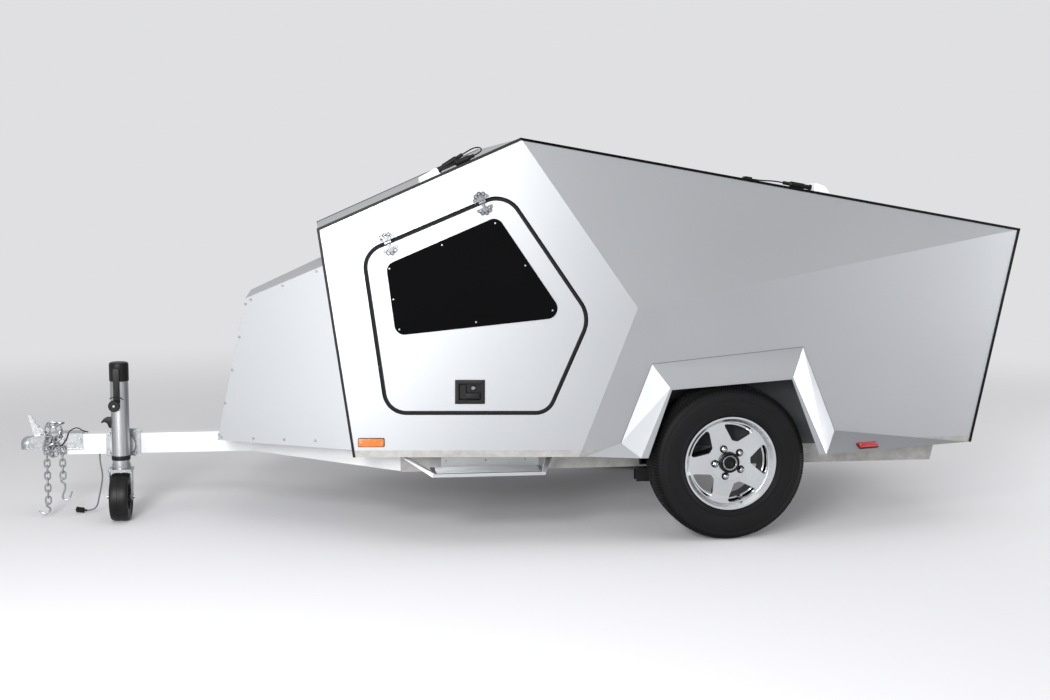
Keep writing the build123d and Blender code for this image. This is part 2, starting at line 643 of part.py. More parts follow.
# Suspension: cross tube through the rails, ears, trailing arms and spindles
ARM_Y0, ARM_Y1 = RAIL_Y + 6.0, RAIL_Y + 42.0
PIV_X, PIV_Z = -331.0, FRAME_Z - 28.0
EAR_X0, EAR_X1, EAR_Z0 = PIV_X - 44.0, PIV_X + 42.0, FRAME_Z - 59.0
EAR_IN, EAR_OUT = 8.0, 6.5
BOSS_R, EYE_R, ARM_EDGE = 19.0, 34.0, 2.0
SPINDLE_R = 22.0
with BuildPart() as suspension_mounts:
    block(EAR_X0, EAR_X1, -RAIL_Y, -RAIL_Y + EAR_IN, EAR_Z0, FRAME_Z)
    block(EAR_X0, EAR_X1, -ARM_Y1 - CLEAR - EAR_OUT, -ARM_Y1 - CLEAR, EAR_Z0, FRAME_Z)
    block(EAR_X0, PIV_X - 9, -ARM_Y1 - CLEAR - EAR_OUT, -RAIL_Y + EAR_IN, FRAME_Z - 7, FRAME_Z)
    mirror(about=Plane.XZ)
    block(TUBE_X0, TUBE_X1, -TUBE_Y, TUBE_Y, TUBE_Z0, TUBE_Z1)
    block(TUBE_X0 + 5, TUBE_X1 - 5, -TUBE_Y - 1, TUBE_Y + 1, TUBE_Z0 + 5, TUBE_Z1 - 5, Mode.SUBTRACT)
suspension_mounts.part.label = "suspension_mounts"
export_step(suspension_mounts.part, "parts/suspension_mounts.step")

ARM_RISE = Vector(-PIV_X, HUB_Z - PIV_Z).normalized()
ARM_UP = Vector(-ARM_RISE.Y, ARM_RISE.X)


def arm_corner(x, z, across_arm):
    return (x + ARM_UP.X * across_arm, z + ARM_UP.Y * across_arm)


with BuildPart() as suspension_arms:
    rod((PIV_X, -RAIL_Y - CLEAR, PIV_Z), (PIV_X, -ARM_Y1, PIV_Z), BOSS_R)
    rod((0, -ARM_Y0, HUB_Z), (0, -ARM_Y1, HUB_Z), EYE_R)
    prism_y([arm_corner(PIV_X, PIV_Z, BOSS_R - ARM_EDGE), arm_corner(PIV_X, PIV_Z, ARM_EDGE - BOSS_R),
             arm_corner(0, HUB_Z, ARM_EDGE - EYE_R), arm_corner(0, HUB_Z, EYE_R - ARM_EDGE)],
            -ARM_Y0, -ARM_Y1)
    rod((0, -ARM_Y1 + 1, HUB_Z), (0, -HALF - 28, HUB_Z), SPINDLE_R)
    mirror(about=Plane.XZ)
suspension_arms.part.label = "suspension_arms"
export_step(suspension_arms.part, "parts/suspension_arms.step")

# Wheels. Half sections: radius, offset from the wheel's middle plane
RIM_R = 207.0
BEAD_R = RIM_R + 1.5
WALL_H = TYRE_R - BEAD_R


def at_wall(share):
    """Radius of a share of the way up the tyre's wall."""
    return BEAD_R + WALL_H * share


TYRE_OUT = [(TYRE_R, 0.0), (TYRE_R, 68.0), (at_wall(0.955), 82.0), (at_wall(0.84), 94.0),
            (at_wall(0.62), 101.0), (at_wall(0.395), 102.5), (at_wall(0.195), 99.0), (at_wall(0.04), 91.0),
            (BEAD_R, 84.0), (BEAD_R, 77.0)]
TYRE_IN = [(RIM_R - 15, 73.4), (RIM_R - 15, 55.0), (RIM_R - 1, 62.0), (at_wall(0.22), 86.0),
           (at_wall(0.395), 90.0), (at_wall(0.62), 88.0), (at_wall(0.85), 76.0), (TYRE_R - 13, 60.0),
           (TYRE_R - 13, 0.0)]
TYRE = TYRE_OUT + TYRE_IN
TYRE_LOOP = TYRE + [(r, -w) for r, w in reversed(TYRE) if w > 0.0]
RIM = [(RIM_R, 88.0), (RIM_R, 78.0), (RIM_R - 15.5, 74.0), (RIM_R - 15.5, 50.0), (RIM_R - 35, 38.0),
       (RIM_R - 35, -52.0), (RIM_R - 15.5, -60.0), (RIM_R - 15.5, -74.0), (RIM_R, -78.0), (RIM_R, -88.0),
       (RIM_R - 7, -88.0), (RIM_R - 23, -70.0), (RIM_R - 42, -46.0), (RIM_R - 42, 30.0), (RIM_R - 29, 48.0),
       (RIM_R - 23, 70.0), (RIM_R - 8, 88.0)]
HUB_FACE, HUB_BORE = 58.0, 30.0
DISC = [(HUB_BORE, 24.0), (84.0, 24.0), (96.0, 40.0), (RIM_R - 22.5, 44.0),
        (RIM_R - 22.5, 66.0), (150.0, 66.0), (80.0, HUB_FACE), (HUB_BORE, HUB_FACE)]
HUB = [(SPINDLE_R + RUN, -60.0), (70.0, -60.0), (70.0, 23.5), (HUB_BORE - CLEAR, 23.5),
       (HUB_BORE - CLEAR, 50.0), (0.0, 50.0), (0.0, 32.0), (SPINDLE_R + RUN, 32.0)]
# a window between two spokes: outwards along its middle, across, corner radius
WINDOW_RIM = [(98.0, -13.0, 12.0), (162.0, -74.0, 13.0), (177.0, -38.0, 90.0), (177.0, 38.0, 90.0),
              (162.0, 74.0, 13.0), (98.0, 13.0, 12.0)]
SPOKES = 5
WINDOW_TURN = 4.0
LUG_TURN = 41.0
LUG_CIRCLE = 63.5
LUG_R = 10.5
CAP_R, CAP_OUT = 44.5, 74.0
WHEEL_PL = Plane(origin=V(0, -HALF, HUB_Z), x_dir=(1, 0, 0), z_dir=(0, -1, 0))


def fan(first):
    """Turns of the five spokes, in radians, from the first one in degrees."""
    return [radians(first + 360 / SPOKES * k) for k in range(SPOKES)]


with BuildPart() as tyre_left:
    turned(WHEEL_PL.origin, OUT_LEFT, TYRE_LOOP)
tyre_left.part.label = "tyre_left"
export_step(tyre_left.part, "parts/tyre_left.step")
with BuildPart() as tyre_right:
    mirror(tyre_left.part, about=Plane.XZ)
tyre_right.part.label = "tyre_right"
export_step(tyre_right.part, "parts/tyre_right.step")

with BuildPart() as rim_left:
    turned(WHEEL_PL.origin, OUT_LEFT, RIM)
    turned(WHEEL_PL.origin, OUT_LEFT, DISC)
    for a in fan(WINDOW_TURN):
        outline(WHEEL_PL, [(x * cos(a) - y * sin(a), x * sin(a) + y * cos(a), r) for x, y, r in WINDOW_RIM],
                30, 80, Mode.SUBTRACT)
rim_left.part.label = "rim_left"
export_step(rim_left.part, "parts/rim_left.step")
with BuildPart() as rim_right:
    mirror(rim_left.part, about=Plane.XZ)
rim_right.part.label = "rim_right"
export_step(rim_right.part, "parts/rim_right.step")

with BuildPart() as hub_left:
    turned(WHEEL_PL.origin, OUT_LEFT, HUB)
    disc(WHEEL_PL, 0, 0, HUB_BORE - 2, 50, 60)
    disc(WHEEL_PL, 0, 0, CAP_R, HUB_FACE + SEAT, CAP_OUT)
    disc(WHEEL_PL, 0, 0, CAP_R / 2, CAP_OUT - 6, CAP_OUT + 1, Mode.SUBTRACT)
    for a in fan(LUG_TURN):
        disc(WHEEL_PL, LUG_CIRCLE * cos(a), LUG_CIRCLE * sin(a), LUG_R, HUB_FACE + SEAT, CAP_OUT)
hub_left.part.label = "hub_left"
export_step(hub_left.part, "parts/hub_left.step")
with BuildPart() as hub_right:
    mirror(hub_left.part, about=Plane.XZ)
hub_right.part.label = "hub_right"
export_step(hub_right.part, "parts/hub_right.step")

# Nose box: x, half width, height of three corners
N_FT = (-2110.0, HALF - 494.5, BODY_Z + 649.0)      # front top
N_RT = (-1772.0, HALF - 337.5, BODY_Z + 801.0)      # rear top
N_FB = (-2244.0, HALF - 494.5, BODY_Z + 3.0)        # front bottom
NOSE_T = 4.0
VENTS = 10
VENT_LONG, VENT_WIDE, VENT_PITCH = 17.0, 5.0, 25.0
VENT_FIRST, VENT_IN = 128.0, 13.0


def nose_planes(i=0.0):
    low = Plane(origin=(0, 0, N_FB[2] + i), z_dir=(0, 0, -1))
    slopes = [across(N_FB, N_FT, i), across(N_FT, N_RT, i)]
    return slopes + [facet(N_FT, N_RT, N_FB, side, i) for side in (-1, 1)] + [low]


nose_edge = V(N_RT[0], -N_RT[1], N_RT[2]) - V(N_FT[0], -N_FT[1], N_FT[2])
NOSE_EDGE_PL = Plane(origin=V(N_FT[0], -N_FT[1], N_FT[2]), x_dir=nose_edge, z_dir=across(N_FT, N_RT).z_dir)
with BuildPart() as nose_room:
    cutting_room()
    keep_in(*nose_planes(NOSE_T))
with BuildPart() as nose_box:
    cutting_room()
    keep_in(*nose_planes())
    add(nose_room.part, mode=Mode.SUBTRACT)
    keep_out(front_plane())
    for k in range(VENTS):
        s = VENT_FIRST + VENT_PITCH * k
        slab(NOSE_EDGE_PL, s, s + VENT_LONG, VENT_IN, VENT_IN + VENT_WIDE, -NOSE_T - 2, 2, Mode.SUBTRACT)
    split(bisect_by=Plane.XZ, keep=Keep.TOP)
    mirror(about=Plane.XZ)
nose_box.part.label = "nose_box"
export_step(nose_box.part, "parts/nose_box.step")

# Coupler: ball housing, sloping neck, base flange and side bolts
BALL_R = 25.65
BALL_X, BALL_Z = -3126.0, BODY_Z - 45.0
HOUSING_R = BALL_R + 7.0
COUP_Z0 = BODY_Z - 71.0
COUP_T = 4.5
COUP_X1 = -2875.0
COUP_TOP = BODY_Z + COUP_T
COUP_HALF = TONGUE_HALF + COUP_T
NECK_X0 = TONGUE_X0 - 8.0
FLANGE_T = 4.0
COUPLER_BOLTS = [(-2966.0, BODY_Z - 27.0), (-2892.0, BODY_Z - 27.0)]
# safety chains: x, y and height of the top link, drop to the hook
CHAINS = [(-3034.0, -62.0, BODY_Z - 73.0, 232.0), (-2965.0, -62.0, BODY_Z - 73.0, 116.0)]
EYE_R_CHAIN = 5.0
with BuildPart() as coupler_neck:
    prism_z([(BALL_X, -30), (NECK_X0, -COUP_HALF), (COUP_X1, -COUP_HALF), (COUP_X1, COUP_HALF),
             (NECK_X0, COUP_HALF), (BALL_X, 30)], COUP_Z0, COUP_TOP)
    keep_in(across((BALL_X - 10, 0, BALL_Z + 26), (TONGUE_X0 - 20, 0, COUP_TOP)))
    prism_z([(BALL_X - 28, -17), (BALL_X, -HOUSING_R - 3), (NECK_X0, -COUP_HALF - 5),
             (COUP_X1, -COUP_HALF - 5), (COUP_X1, COUP_HALF + 5), (NECK_X0, COUP_HALF + 5),
             (BALL_X, HOUSING_R + 3), (BALL_X - 28, 17)],
            COUP_Z0, COUP_Z0 + FLANGE_T)
with BuildPart() as coupler:
    with Locations(V(BALL_X, 0, BALL_Z)):
        Sphere(HOUSING_R)
    keep_out(level(COUP_Z0))
    rod((BALL_X, 0, COUP_Z0), (BALL_X, 0, BALL_Z), HOUSING_R)
    add(coupler_neck.part)
    prism_z([(BALL_X + 38, -22), (NECK_X0, -TONGUE_HALF + 4), (NECK_X0, TONGUE_HALF - 4), (BALL_X + 38, 22)],
            COUP_Z0 - 5, BALL_Z + 18, Mode.SUBTRACT)
    block(NECK_X0 - 1, COUP_X1 + 1, -TONGUE_HALF, TONGUE_HALF, COUP_Z0 - 5, BODY_Z, Mode.SUBTRACT)
    rod((BALL_X, 0, COUP_Z0 - 5), (BALL_X, 0, BALL_Z), BALL_R, Mode.SUBTRACT)
    with Locations(V(BALL_X, 0, BALL_Z)):
        Sphere(BALL_R, mode=Mode.SUBTRACT)
    for x, z in COUPLER_BOLTS:
        for e in (-1, 1):
            rod((x, e * COUP_HALF, z), (x, e * (COUP_HALF + 9), z), 9.5)
    for x, y, z, drop in CHAINS:
        inner = TONGUE_HALF - 2 if x < NECK_X0 else TONGUE_HALF + 1
        rod((x, -inner, z + 10), (x, y - 8, z + 10), EYE_R_CHAIN)
coupler.part.label = "coupler"
export_step(coupler.part, "parts/coupler.step")

# Latch plate over the ball: offsets from the ball's centre in x and z
LATCH_PLATE = [(0.0, 142.0), (16.0, 132.0), (32.0, 95.0), (64.0, 68.0),
               (74.0, 50.0), (30.0, 26.0), (20.0, 56.0)]
with BuildPart() as coupler_latch:
    prism_y([(BALL_X + dx, BALL_Z + dz) for dx, dz in LATCH_PLATE], -4, 4)
    add(coupler.part, mode=Mode.SUBTRACT)
coupler_latch.part.label = "coupler_latch"
export_step(coupler_latch.part, "parts/coupler_latch.step")

# Jack: swivel mount, tube, head with its folded crank, leg, fork and wheel
JT0, JT1 = BODY_Z - 85.0, BODY_Z + 292.0
HEAD_H, HEAD_R = 56.0, 42.5
SWIVEL_R = 56.0
PLATE_T, SWIVEL_T = 8.0, 14.0
PLATE_X, PLATE_Z0, PLATE_Z1 = 78.0, BODY_Z - 105.0, BODY_Z + 23.0
SWIVEL_Y = -TONGUE_HALF - PLATE_T - SWIVEL_T
FORK_TOP = 2 * JACK_WHEEL_R + 39.0
LEG_Z0 = FORK_TOP + SEAT
COLLAR_R, COLLAR_H = 39.0, 22.0
LEG_Z1 = JT1 - 17.0
wheel_y = JACK_Y - JACK_TRAIL
FORK_IN = JACK_WHEEL_W / 2 + 5
FORK_OUT = FORK_IN + 7.0
AXLE_R = 8.0
with BuildPart() as jack_mount:
    block(JACK_X - PLATE_X, JACK_X + PLATE_X, -TONGUE_HALF - PLATE_T, -TONGUE_HALF, PLATE_Z0, PLATE_Z1)
    rod((JACK_X, -TONGUE_HALF - PLATE_T + 1, PIVOT_Z), (JACK_X, SWIVEL_Y, PIVOT_Z), SWIVEL_R)
jack_mount.part.label = "jack_mount"
export_step(jack_mount.part, "parts/jack_mount.step")
with BuildPart() as jack_tube:
    rod((JACK_X, JACK_Y, JT0), (JACK_X, JACK_Y, JT1), JACK_R)
    rod((JACK_X, SWIVEL_Y - CLEAR, PIVOT_Z), (JACK_X, SWIVEL_Y - SWIVEL_T, PIVOT_Z), SWIVEL_R)
    rod((JACK_X, SWIVEL_Y - SWIVEL_T + 1, PIVOT_Z), (JACK_X, JACK_Y, PIVOT_Z), 30)
    rod((JACK_X, JACK_Y, JT0 - 5), (JACK_X, JACK_Y, JT1 - 6), LEG_R + RUN, Mode.SUBTRACT)
jack_tube.part.label = "jack_tube"
export_step(jack_tube.part, "parts/jack_tube.step")

CRANK_X, CRANK_Y = JACK_X - 6.0, JACK_Y - 52.0
CRANK_LOW, CRANK_W = JT1 - 140.0, 14.0
KNOB_R, KNOB_T = 27.0, 24.0
LEVER = [(-38.0, -110.0), (-58.0, -115.0), (-80.0, -150.0), (-72.0, -158.0), (-50.0, -132.0), (-38.0, -180.0)]
with BuildPart() as jack_cap:
    rod((JACK_X, JACK_Y, JT1), (JACK_X, JACK_Y, JT1 + HEAD_H), HEAD_R)
    block(CRANK_X - CRANK_W, CRANK_X + CRANK_W, CRANK_Y - 6, JACK_Y - 36, JT1 + 4, JT1 + 36)
    block(CRANK_X - CRANK_W, CRANK_X + CRANK_W, CRANK_Y - 6, CRANK_Y + 6, CRANK_LOW, JT1 + 30)
    rod((CRANK_X, CRANK_Y - 5, CRANK_LOW + 10), (CRANK_X - 8, CRANK_Y - 5 - KNOB_T, CRANK_LOW), KNOB_R)
    prism_y([(JACK_X + dx, JT1 + dz) for dx, dz in LEVER], JACK_Y - 8, JACK_Y + 8)
    turned(V(JACK_X, JACK_Y, JT0), Vector(0, 0, -1), [(LEG_R + RUN, 0), (LEG_R + RUN, 18), (37, 18), (37, 0)])
    add(jack_tube.part, mode=Mode.SUBTRACT)
jack_cap.part.label = "jack_cap"
export_step(jack_cap.part, "parts/jack_cap.step")
with BuildPart() as jack_leg:
    rod((JACK_X, JACK_Y, LEG_Z0), (JACK_X, JACK_Y, LEG_Z1), LEG_R)
    rod((JACK_X, JACK_Y, LEG_Z0), (JACK_X, JACK_Y, LEG_Z0 + COLLAR_H), COLLAR_R)
jack_leg.part.label = "jack_leg"
export_step(jack_leg.part, "parts/jack_leg.step")
with BuildPart() as jack_fork:
    rod((JACK_X, JACK_Y, FORK_TOP - 20), (JACK_X, JACK_Y, FORK_TOP), COLLAR_R + 3)
    outline(Plane(origin=V(JACK_X, JACK_Y, 2 * JACK_WHEEL_R + 9), x_dir=(1, 0, 0), z_dir=(0, 0, 1)),
            [(-FORK_OUT, 30, 12), (-FORK_OUT, -JACK_TRAIL - 24, 6), (FORK_OUT, -JACK_TRAIL - 24, 6),
             (FORK_OUT, 30, 12)], 0, 11)
    for e in (-1, 1):
        xa, xb = sorted((JACK_X + e * FORK_IN, JACK_X + e * FORK_OUT))
        block(xa, xb, wheel_y - 20, wheel_y + 20, JACK_WHEEL_R, 2 * JACK_WHEEL_R + 12)
        rod((xa, wheel_y, JACK_WHEEL_R), (xb, wheel_y, JACK_WHEEL_R), 20)
    rod((JACK_X - FORK_OUT - 9, wheel_y, JACK_WHEEL_R), (JACK_X + FORK_OUT + 9, wheel_y, JACK_WHEEL_R),
        AXLE_R)
jack_fork.part.label = "jack_fork"
export_step(jack_fork.part, "parts/jack_fork.step")
half = JACK_WHEEL_W / 2
WEB_R, TREAD_R = JACK_WHEEL_R - 50.0, JACK_WHEEL_R - 10.0
with BuildPart() as jack_wheel:
    turned(V(JACK_X, wheel_y, JACK_WHEEL_R), Vector(1, 0, 0),
           [(AXLE_R + RUN, -half), (WEB_R, -half), (WEB_R + 4, 5 - half), (TREAD_R - 10, 5 - half),
            (TREAD_R, -half),
            (JACK_WHEEL_R - 3, 8 - half), (JACK_WHEEL_R, 16 - half), (JACK_WHEEL_R, half - 16),
            (JACK_WHEEL_R - 3, half - 8), (TREAD_R, half), (TREAD_R - 10, half - 5), (WEB_R + 4, half - 5),
            (WEB_R, half),
            (AXLE_R + RUN, half)])
jack_wheel.part.label = "jack_wheel"
export_step(jack_wheel.part, "parts/jack_wheel.step")

# Entry steps: folded tread, riser and slanted end plates
ST_X0, ST_X1 = -1310.0, -822.0
ST_Y0, ST_Y1 = P5[1] - 39.0, P5[1] + 111.0
ST_Z = BODY_Z - 60.0
LIP_H = 14.0
SHEET = 3.0
BAR_IN, BAR_OUT = P5[1] - 3.0, P5[1] + 19.0
with BuildPart() as steps:
    block(ST_X0, ST_X1, -ST_Y1, -ST_Y0, ST_Z - SHEET, ST_Z)
    block(ST_X0, ST_X1, -ST_Y1, -ST_Y1 + SHEET, ST_Z - LIP_H, ST_Z)
    block(ST_X0 + 50, ST_X1 - 8, -ST_Y0 - SHEET, -ST_Y0, ST_Z - 1, BODY_Z)
    for x0, x1 in ((ST_X0, ST_X0 - 128.0), (ST_X1, ST_X1 + 47.0)):
        e = 1 if x1 > x0 else -1
        polyhedron([(x0, -ST_Y1, ST_Z - LIP_H), (x0, -ST_Y1 + 22, ST_Z - LIP_H), (x1, -BAR_IN, BODY_Z),
                    (x1, -BAR_OUT, BODY_Z), (x0 - e * 16, -ST_Y1, ST_Z - SHEET),
                    (x0 - e * 16, -ST_Y1 + 22, ST_Z - SHEET), (x1 - e * 22, -BAR_IN, BODY_Z),
                    (x1 - e * 22, -BAR_OUT, BODY_Z)],
                   [(0, 1, 2), (0, 2, 3), (4, 5, 6), (4, 6, 7), (0, 1, 5), (0, 5, 4), (1, 2, 6), (1, 6, 5),
                    (2, 3, 7), (2, 7, 6), (3, 0, 4), (3, 4, 7)])
    mirror(about=Plane.XZ)
steps.part.label = "steps"
export_step(steps.part, "parts/steps.step")

# Lamps: amber on the door facet, red on the flare's rear facet and on the rear face
with BuildPart() as marker_lamps:
    slab(DOOR_PL, 19, 133, 45, 84, 0, 12)
    mirror(about=Plane.XZ)
marker_lamps.part.label = "marker_lamps"
export_step(marker_lamps.part, "parts/marker_lamps.step")

tail_a, tail_b, tail_c = (V(*flare_points[i]) for i in (4, 9, 5))
tail_n = (tail_b - tail_a).cross(tail_c - tail_a).normalized()
TAIL_PL = Plane(origin=tail_b, x_dir=tail_c - tail_b, z_dir=tail_n if tail_n.Y < 0 else tail_n * -1)
REAR_LAMP_OUT, REAR_LAMP_W = P7[1] - 43.0, 45.0
SIDE_LAMP_X0, SIDE_LAMP_X1, SIDE_LAMP_Y0, SIDE_LAMP_Y1 = 190.0, 296.0, 14.0, 50.0
with BuildPart() as tail_lamps:
    slab(TAIL_PL, SIDE_LAMP_X0, SIDE_LAMP_X1, SIDE_LAMP_Y0, SIDE_LAMP_Y1, 0, 12)
    slab(REAR_PL, REAR_LAMP_OUT - REAR_LAMP_W, REAR_LAMP_OUT, 60, 210, 0, 26)
    mirror(about=Plane.XZ)
tail_lamps.part.label = "tail_lamps"
export_step(tail_lamps.part, "parts/tail_lamps.step")

# Safety chains
WIRE = 8.0
LINK_LONG, LINK_WIDE = 46.0, 32.0
PITCH = LINK_LONG - 2 * WIRE - 1.0
HOOK_WIRE = 5.0
with BuildPart() as chain_link:
    for long, wide, mode in ((LINK_LONG, LINK_WIDE, Mode.ADD),
                             (LINK_LONG - 2 * WIRE, LINK_WIDE - 2 * WIRE, Mode.SUBTRACT)):
        x, y, cut = wide / 2, long / 2, wide * 0.29
        with BuildSketch(Plane(origin=(0, WIRE / 2, 0), x_dir=(1, 0, 0), z_dir=(0, -1, 0))) as ring:
            with BuildLine():
                Polyline((-x, cut - y), (cut - x, -y), (x - cut, -y), (x, cut - y),
                         (x, y - cut), (x - cut, y), (cut - x, y), (-x, y - cut), close=True)
            make_face()
        extrude(ring.sketch, amount=WIRE, mode=mode)
# hook: x and height under its eye
HOOK = [(0.0, 0.0), (10.0, -22.0), (6.0, -48.0), (-4.0, -72.0), (0.0, -94.0), (20.0, -98.0),
        (34.0, -80.0), (38.0, -60.0)]
with BuildPart() as safety_chains:
    for x, y, z, drop in CHAINS:
        count = round(drop / PITCH) + 1
        for k in range(count):
            with Locations(Location(V(x, y, z - PITCH * k), (0, 0, 90 * (k % 2)))):
                add(chain_link.part)
        last = z - PITCH * (count - 1) - LINK_LONG / 2 + WIRE
        reach = min(1.0, (last - 12.0) / 104.0)
        bent_rod([V(x + dx * reach, y, last + dz * reach) for dx, dz in HOOK], HOOK_WIRE)
safety_chains.part.label = "safety_chains"
export_step(safety_chains.part, "parts/safety_chains.step")

# Roof cable entries: a white housing with two glands in front, one at the rear.
# Rows are across the roof, up its slope and over its skin.
GLAND_R, SLEEVE_R, PLUG_R = 13.0, 10.0, 12.5
FRONT_AT, FRONT_Y0, FRONT_Y1 = P1[1] - 37.0, 476.0, 573.0
REAR_AT, REAR_Y0, REAR_Y1 = 40.0 - P6[1], 924.0, 1003.0
BOX_W = 90.0
FRONT_BOX = [(FRONT_Y0, 0, 1), (FRONT_Y0 + 8, 22, 6), (FRONT_Y1 - 8, 31, 6), (FRONT_Y1, 0, 1)]
REAR_BOX = [(REAR_Y0, 0, 1), (REAR_Y0 + 12, 16, 8), (REAR_Y0 + 36, 34, 14), (REAR_Y1, 40, 4), (REAR_Y1, 0, 1)]
TILT = radians(8.8)
CABLE_R = 3.0
CONNECTOR = [(0.0, 0.0), (GLAND_R, 0.0), (GLAND_R, 8.0), (SLEEVE_R, 8.0), (SLEEVE_R, 30.0), (PLUG_R, 34.0),
             (PLUG_R, 96.0), (8.0, 104.0), (8.0, 131.0), (0.0, 131.0)]


def roof_side(pl, x):
    """Working plane that stands on the roof: x up the slope, y over the skin."""
    return Plane(origin=pl.from_local_coords(Vector(x, 0, 0)), x_dir=pl.y_dir, z_dir=pl.x_dir)


def on_roof(pl, x, y, z):
    return pl.from_local_coords(Vector(x, y, z))


with BuildPart() as cable_boxes:
    outline(roof_side(ROOF_FRONT_PL, FRONT_AT), FRONT_BOX, -BOX_W / 2, BOX_W / 2)
    outline(roof_side(ROOF_REAR_PL, REAR_AT), REAR_BOX, -BOX_W / 2, BOX_W / 2)
cable_boxes.part.label = "cable_boxes"
export_step(cable_boxes.part, "parts/cable_boxes.step")

front_up = ROOF_FRONT_PL.y_dir * cos(TILT) + ROOF_FRONT_PL.z_dir * sin(TILT)
gland_upper = on_roof(ROOF_FRONT_PL, FRONT_AT - 25, FRONT_Y1 - 5, 16)
gland_lower = on_roof(ROOF_FRONT_PL, FRONT_AT + 35, FRONT_Y1 - 5, 13.5)
gland_rear = on_roof(ROOF_REAR_PL, REAR_AT, REAR_Y1, 19)
ENTRY_Y0, ENTRY_Y1 = 1285.0, 1330.0
LONG_TAIL = [(0.0, 0.0), (GLAND_R, 0.0), (GLAND_R, 8.0), (5.0, 12.0), (5.0, 76.0), (PLUG_R, 82.0),
             (PLUG_R, 142.0), (8.0, 150.0), (8.0, 167.0), (0.0, 167.0)]
ENTRY = [(ENTRY_Y0, 0, 1), (ENTRY_Y0, 17, 4), (ENTRY_Y1 - 12, 17, 8), (ENTRY_Y1, 0, 1)]
with BuildPart() as cable_fittings:
    turned(gland_upper, front_up, CONNECTOR)
    turned(gland_lower, ROOF_FRONT_PL.y_dir, LONG_TAIL)
    turned(gland_rear, ROOF_REAR_PL.y_dir, CONNECTOR)
    outline(roof_side(ROOF_REAR_PL, REAR_AT - 6), ENTRY, -16, 16)
    add(cable_boxes.part, mode=Mode.SUBTRACT)
cable_fittings.part.label = "cable_fittings"
export_step(cable_fittings.part, "parts/cable_fittings.step")

# Front cable: out of the upper connector, round a loop and into the lower one
end_upper = gland_upper + front_up * (CONNECTOR[-1][1] + SEAT)
end_lower = gland_lower + ROOF_FRONT_PL.y_dir * (LONG_TAIL[-1][1] + SEAT)
LOOP = [(FRONT_AT - 25.0, 724.0, 40.0), (FRONT_AT - 25.0, 752.0, 42.0), (FRONT_AT - 12.5, 771.0, 37.0),
        (FRONT_AT + 7.0, 778.5, 28.0), (FRONT_AT + 25.5, 774.0, 19.5), (FRONT_AT + 35.0, 757.0, 14.5)]
front_cable = [end_upper] + [on_roof(ROOF_FRONT_PL, *p) for p in LOOP] + [end_lower]
end_rear = gland_rear + ROOF_REAR_PL.y_dir * (CONNECTOR[-1][1] + SEAT)
FALL = [(REAR_AT, 1160.0, 19.5), (REAR_AT - 3, 1195.0, 17.0), (REAR_AT - 6, 1235.0, 11.0)]
rear_cable = [end_rear] + [on_roof(ROOF_REAR_PL, *p) for p in FALL]
rear_cable.append(on_roof(ROOF_REAR_PL, REAR_AT - 6, ENTRY_Y0 - SEAT, 9.0))
with BuildPart() as roof_cord:
    bent_rod(front_cable, CABLE_R)
    bent_rod(rear_cable, CABLE_R)
roof_cord.part.label = "roof_cord"
export_step(roof_cord.part, "parts/roof_cord.step")

# Harness: grey cord from the tongue's underside to a plug on the ground
CORD_R = 3.5
PLUG_Z, PLUG_LONG = 14.0, 38.0
CORD = [(-2806.0, -8.0, FRAME_Z), (-2806.0, -8.0, FRAME_Z - 50.0), (-2794.0, -9.0, FRAME_Z - 104.0),
        (-2802.0, -10.0, FRAME_Z - 160.0), (-2814.0, -10.0, 78.0), (-2824.0, -8.0, 30.0),
        (-2855.0, -5.0, 11.0), (-2884.0, -2.0, PLUG_Z)]
cord_points = [V(*p) for p in CORD]
with BuildPart() as harness_cord:
    bent_rod(cord_points, CORD_R)
harness_cord.part.label = "harness_cord"
export_step(harness_cord.part, "parts/harness_cord.step")
away = (cord_points[-1] - cord_points[-2]).normalized()
PLUG = [(0.0, 0.0), (8.0, 0.0), (PLUG_Z, 6.0), (PLUG_Z, PLUG_LONG), (0.0, PLUG_LONG)]
with BuildPart() as harness_plug:
    turned(cord_points[-1] + away * SEAT, away, PLUG)
harness_plug.part.label = "harness_plug"
export_step(harness_plug.part, "parts/harness_plug.step")


def report_cord(name, points, r, part):
    """Prints a route's runs, turns and arc radii, and its tube's volume against section times length."""
    runs = [(b - a).length for a, b in zip(points, points[1:])]
    turns = [(b - a).get_angle(c - b) for a, b, c in zip(points, points[1:], points[2:])]
    radii = bend_radii(points)
    cut = [2 * q * tan(radians(t) / 2) - q * radians(t) for q, t in zip(radii, turns)]
    length = sum(runs) - sum(cut)
    section = 8 / 2 * r * r * sin(radians(360 / 8))
    print(name, "runs", [round(v) for v in runs], "turns", [round(v) for v in turns])
    print(name, "radii", [round(v) for v in radii], "length", round(length),
          "volume share", round(part.volume / (section * length), 3))


report_cord("harness_cord", cord_points, CORD_R, harness_cord.part)
report_cord("front_cable", front_cable, CABLE_R, roof_cord.part.solids().sort_by(Axis.X)[0])
report_cord("rear_cable", rear_cable, CABLE_R, roof_cord.part.solids().sort_by(Axis.X)[-1])
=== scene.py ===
"""Looks of the teardrop trailer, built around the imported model.

Forms, tables and the places in them are in millimetres, with x counted from the axle. Camera, lamps,
working planes and cords are in metres, in the model's own frame. Angles in tables are in degrees.
"""

import math

import bmesh
import bpy
from bpy.props import FloatProperty, FloatVectorProperty, IntProperty, PointerProperty
from bpy.types import Operator, Panel, PropertyGroup
from mathutils import Matrix, Vector


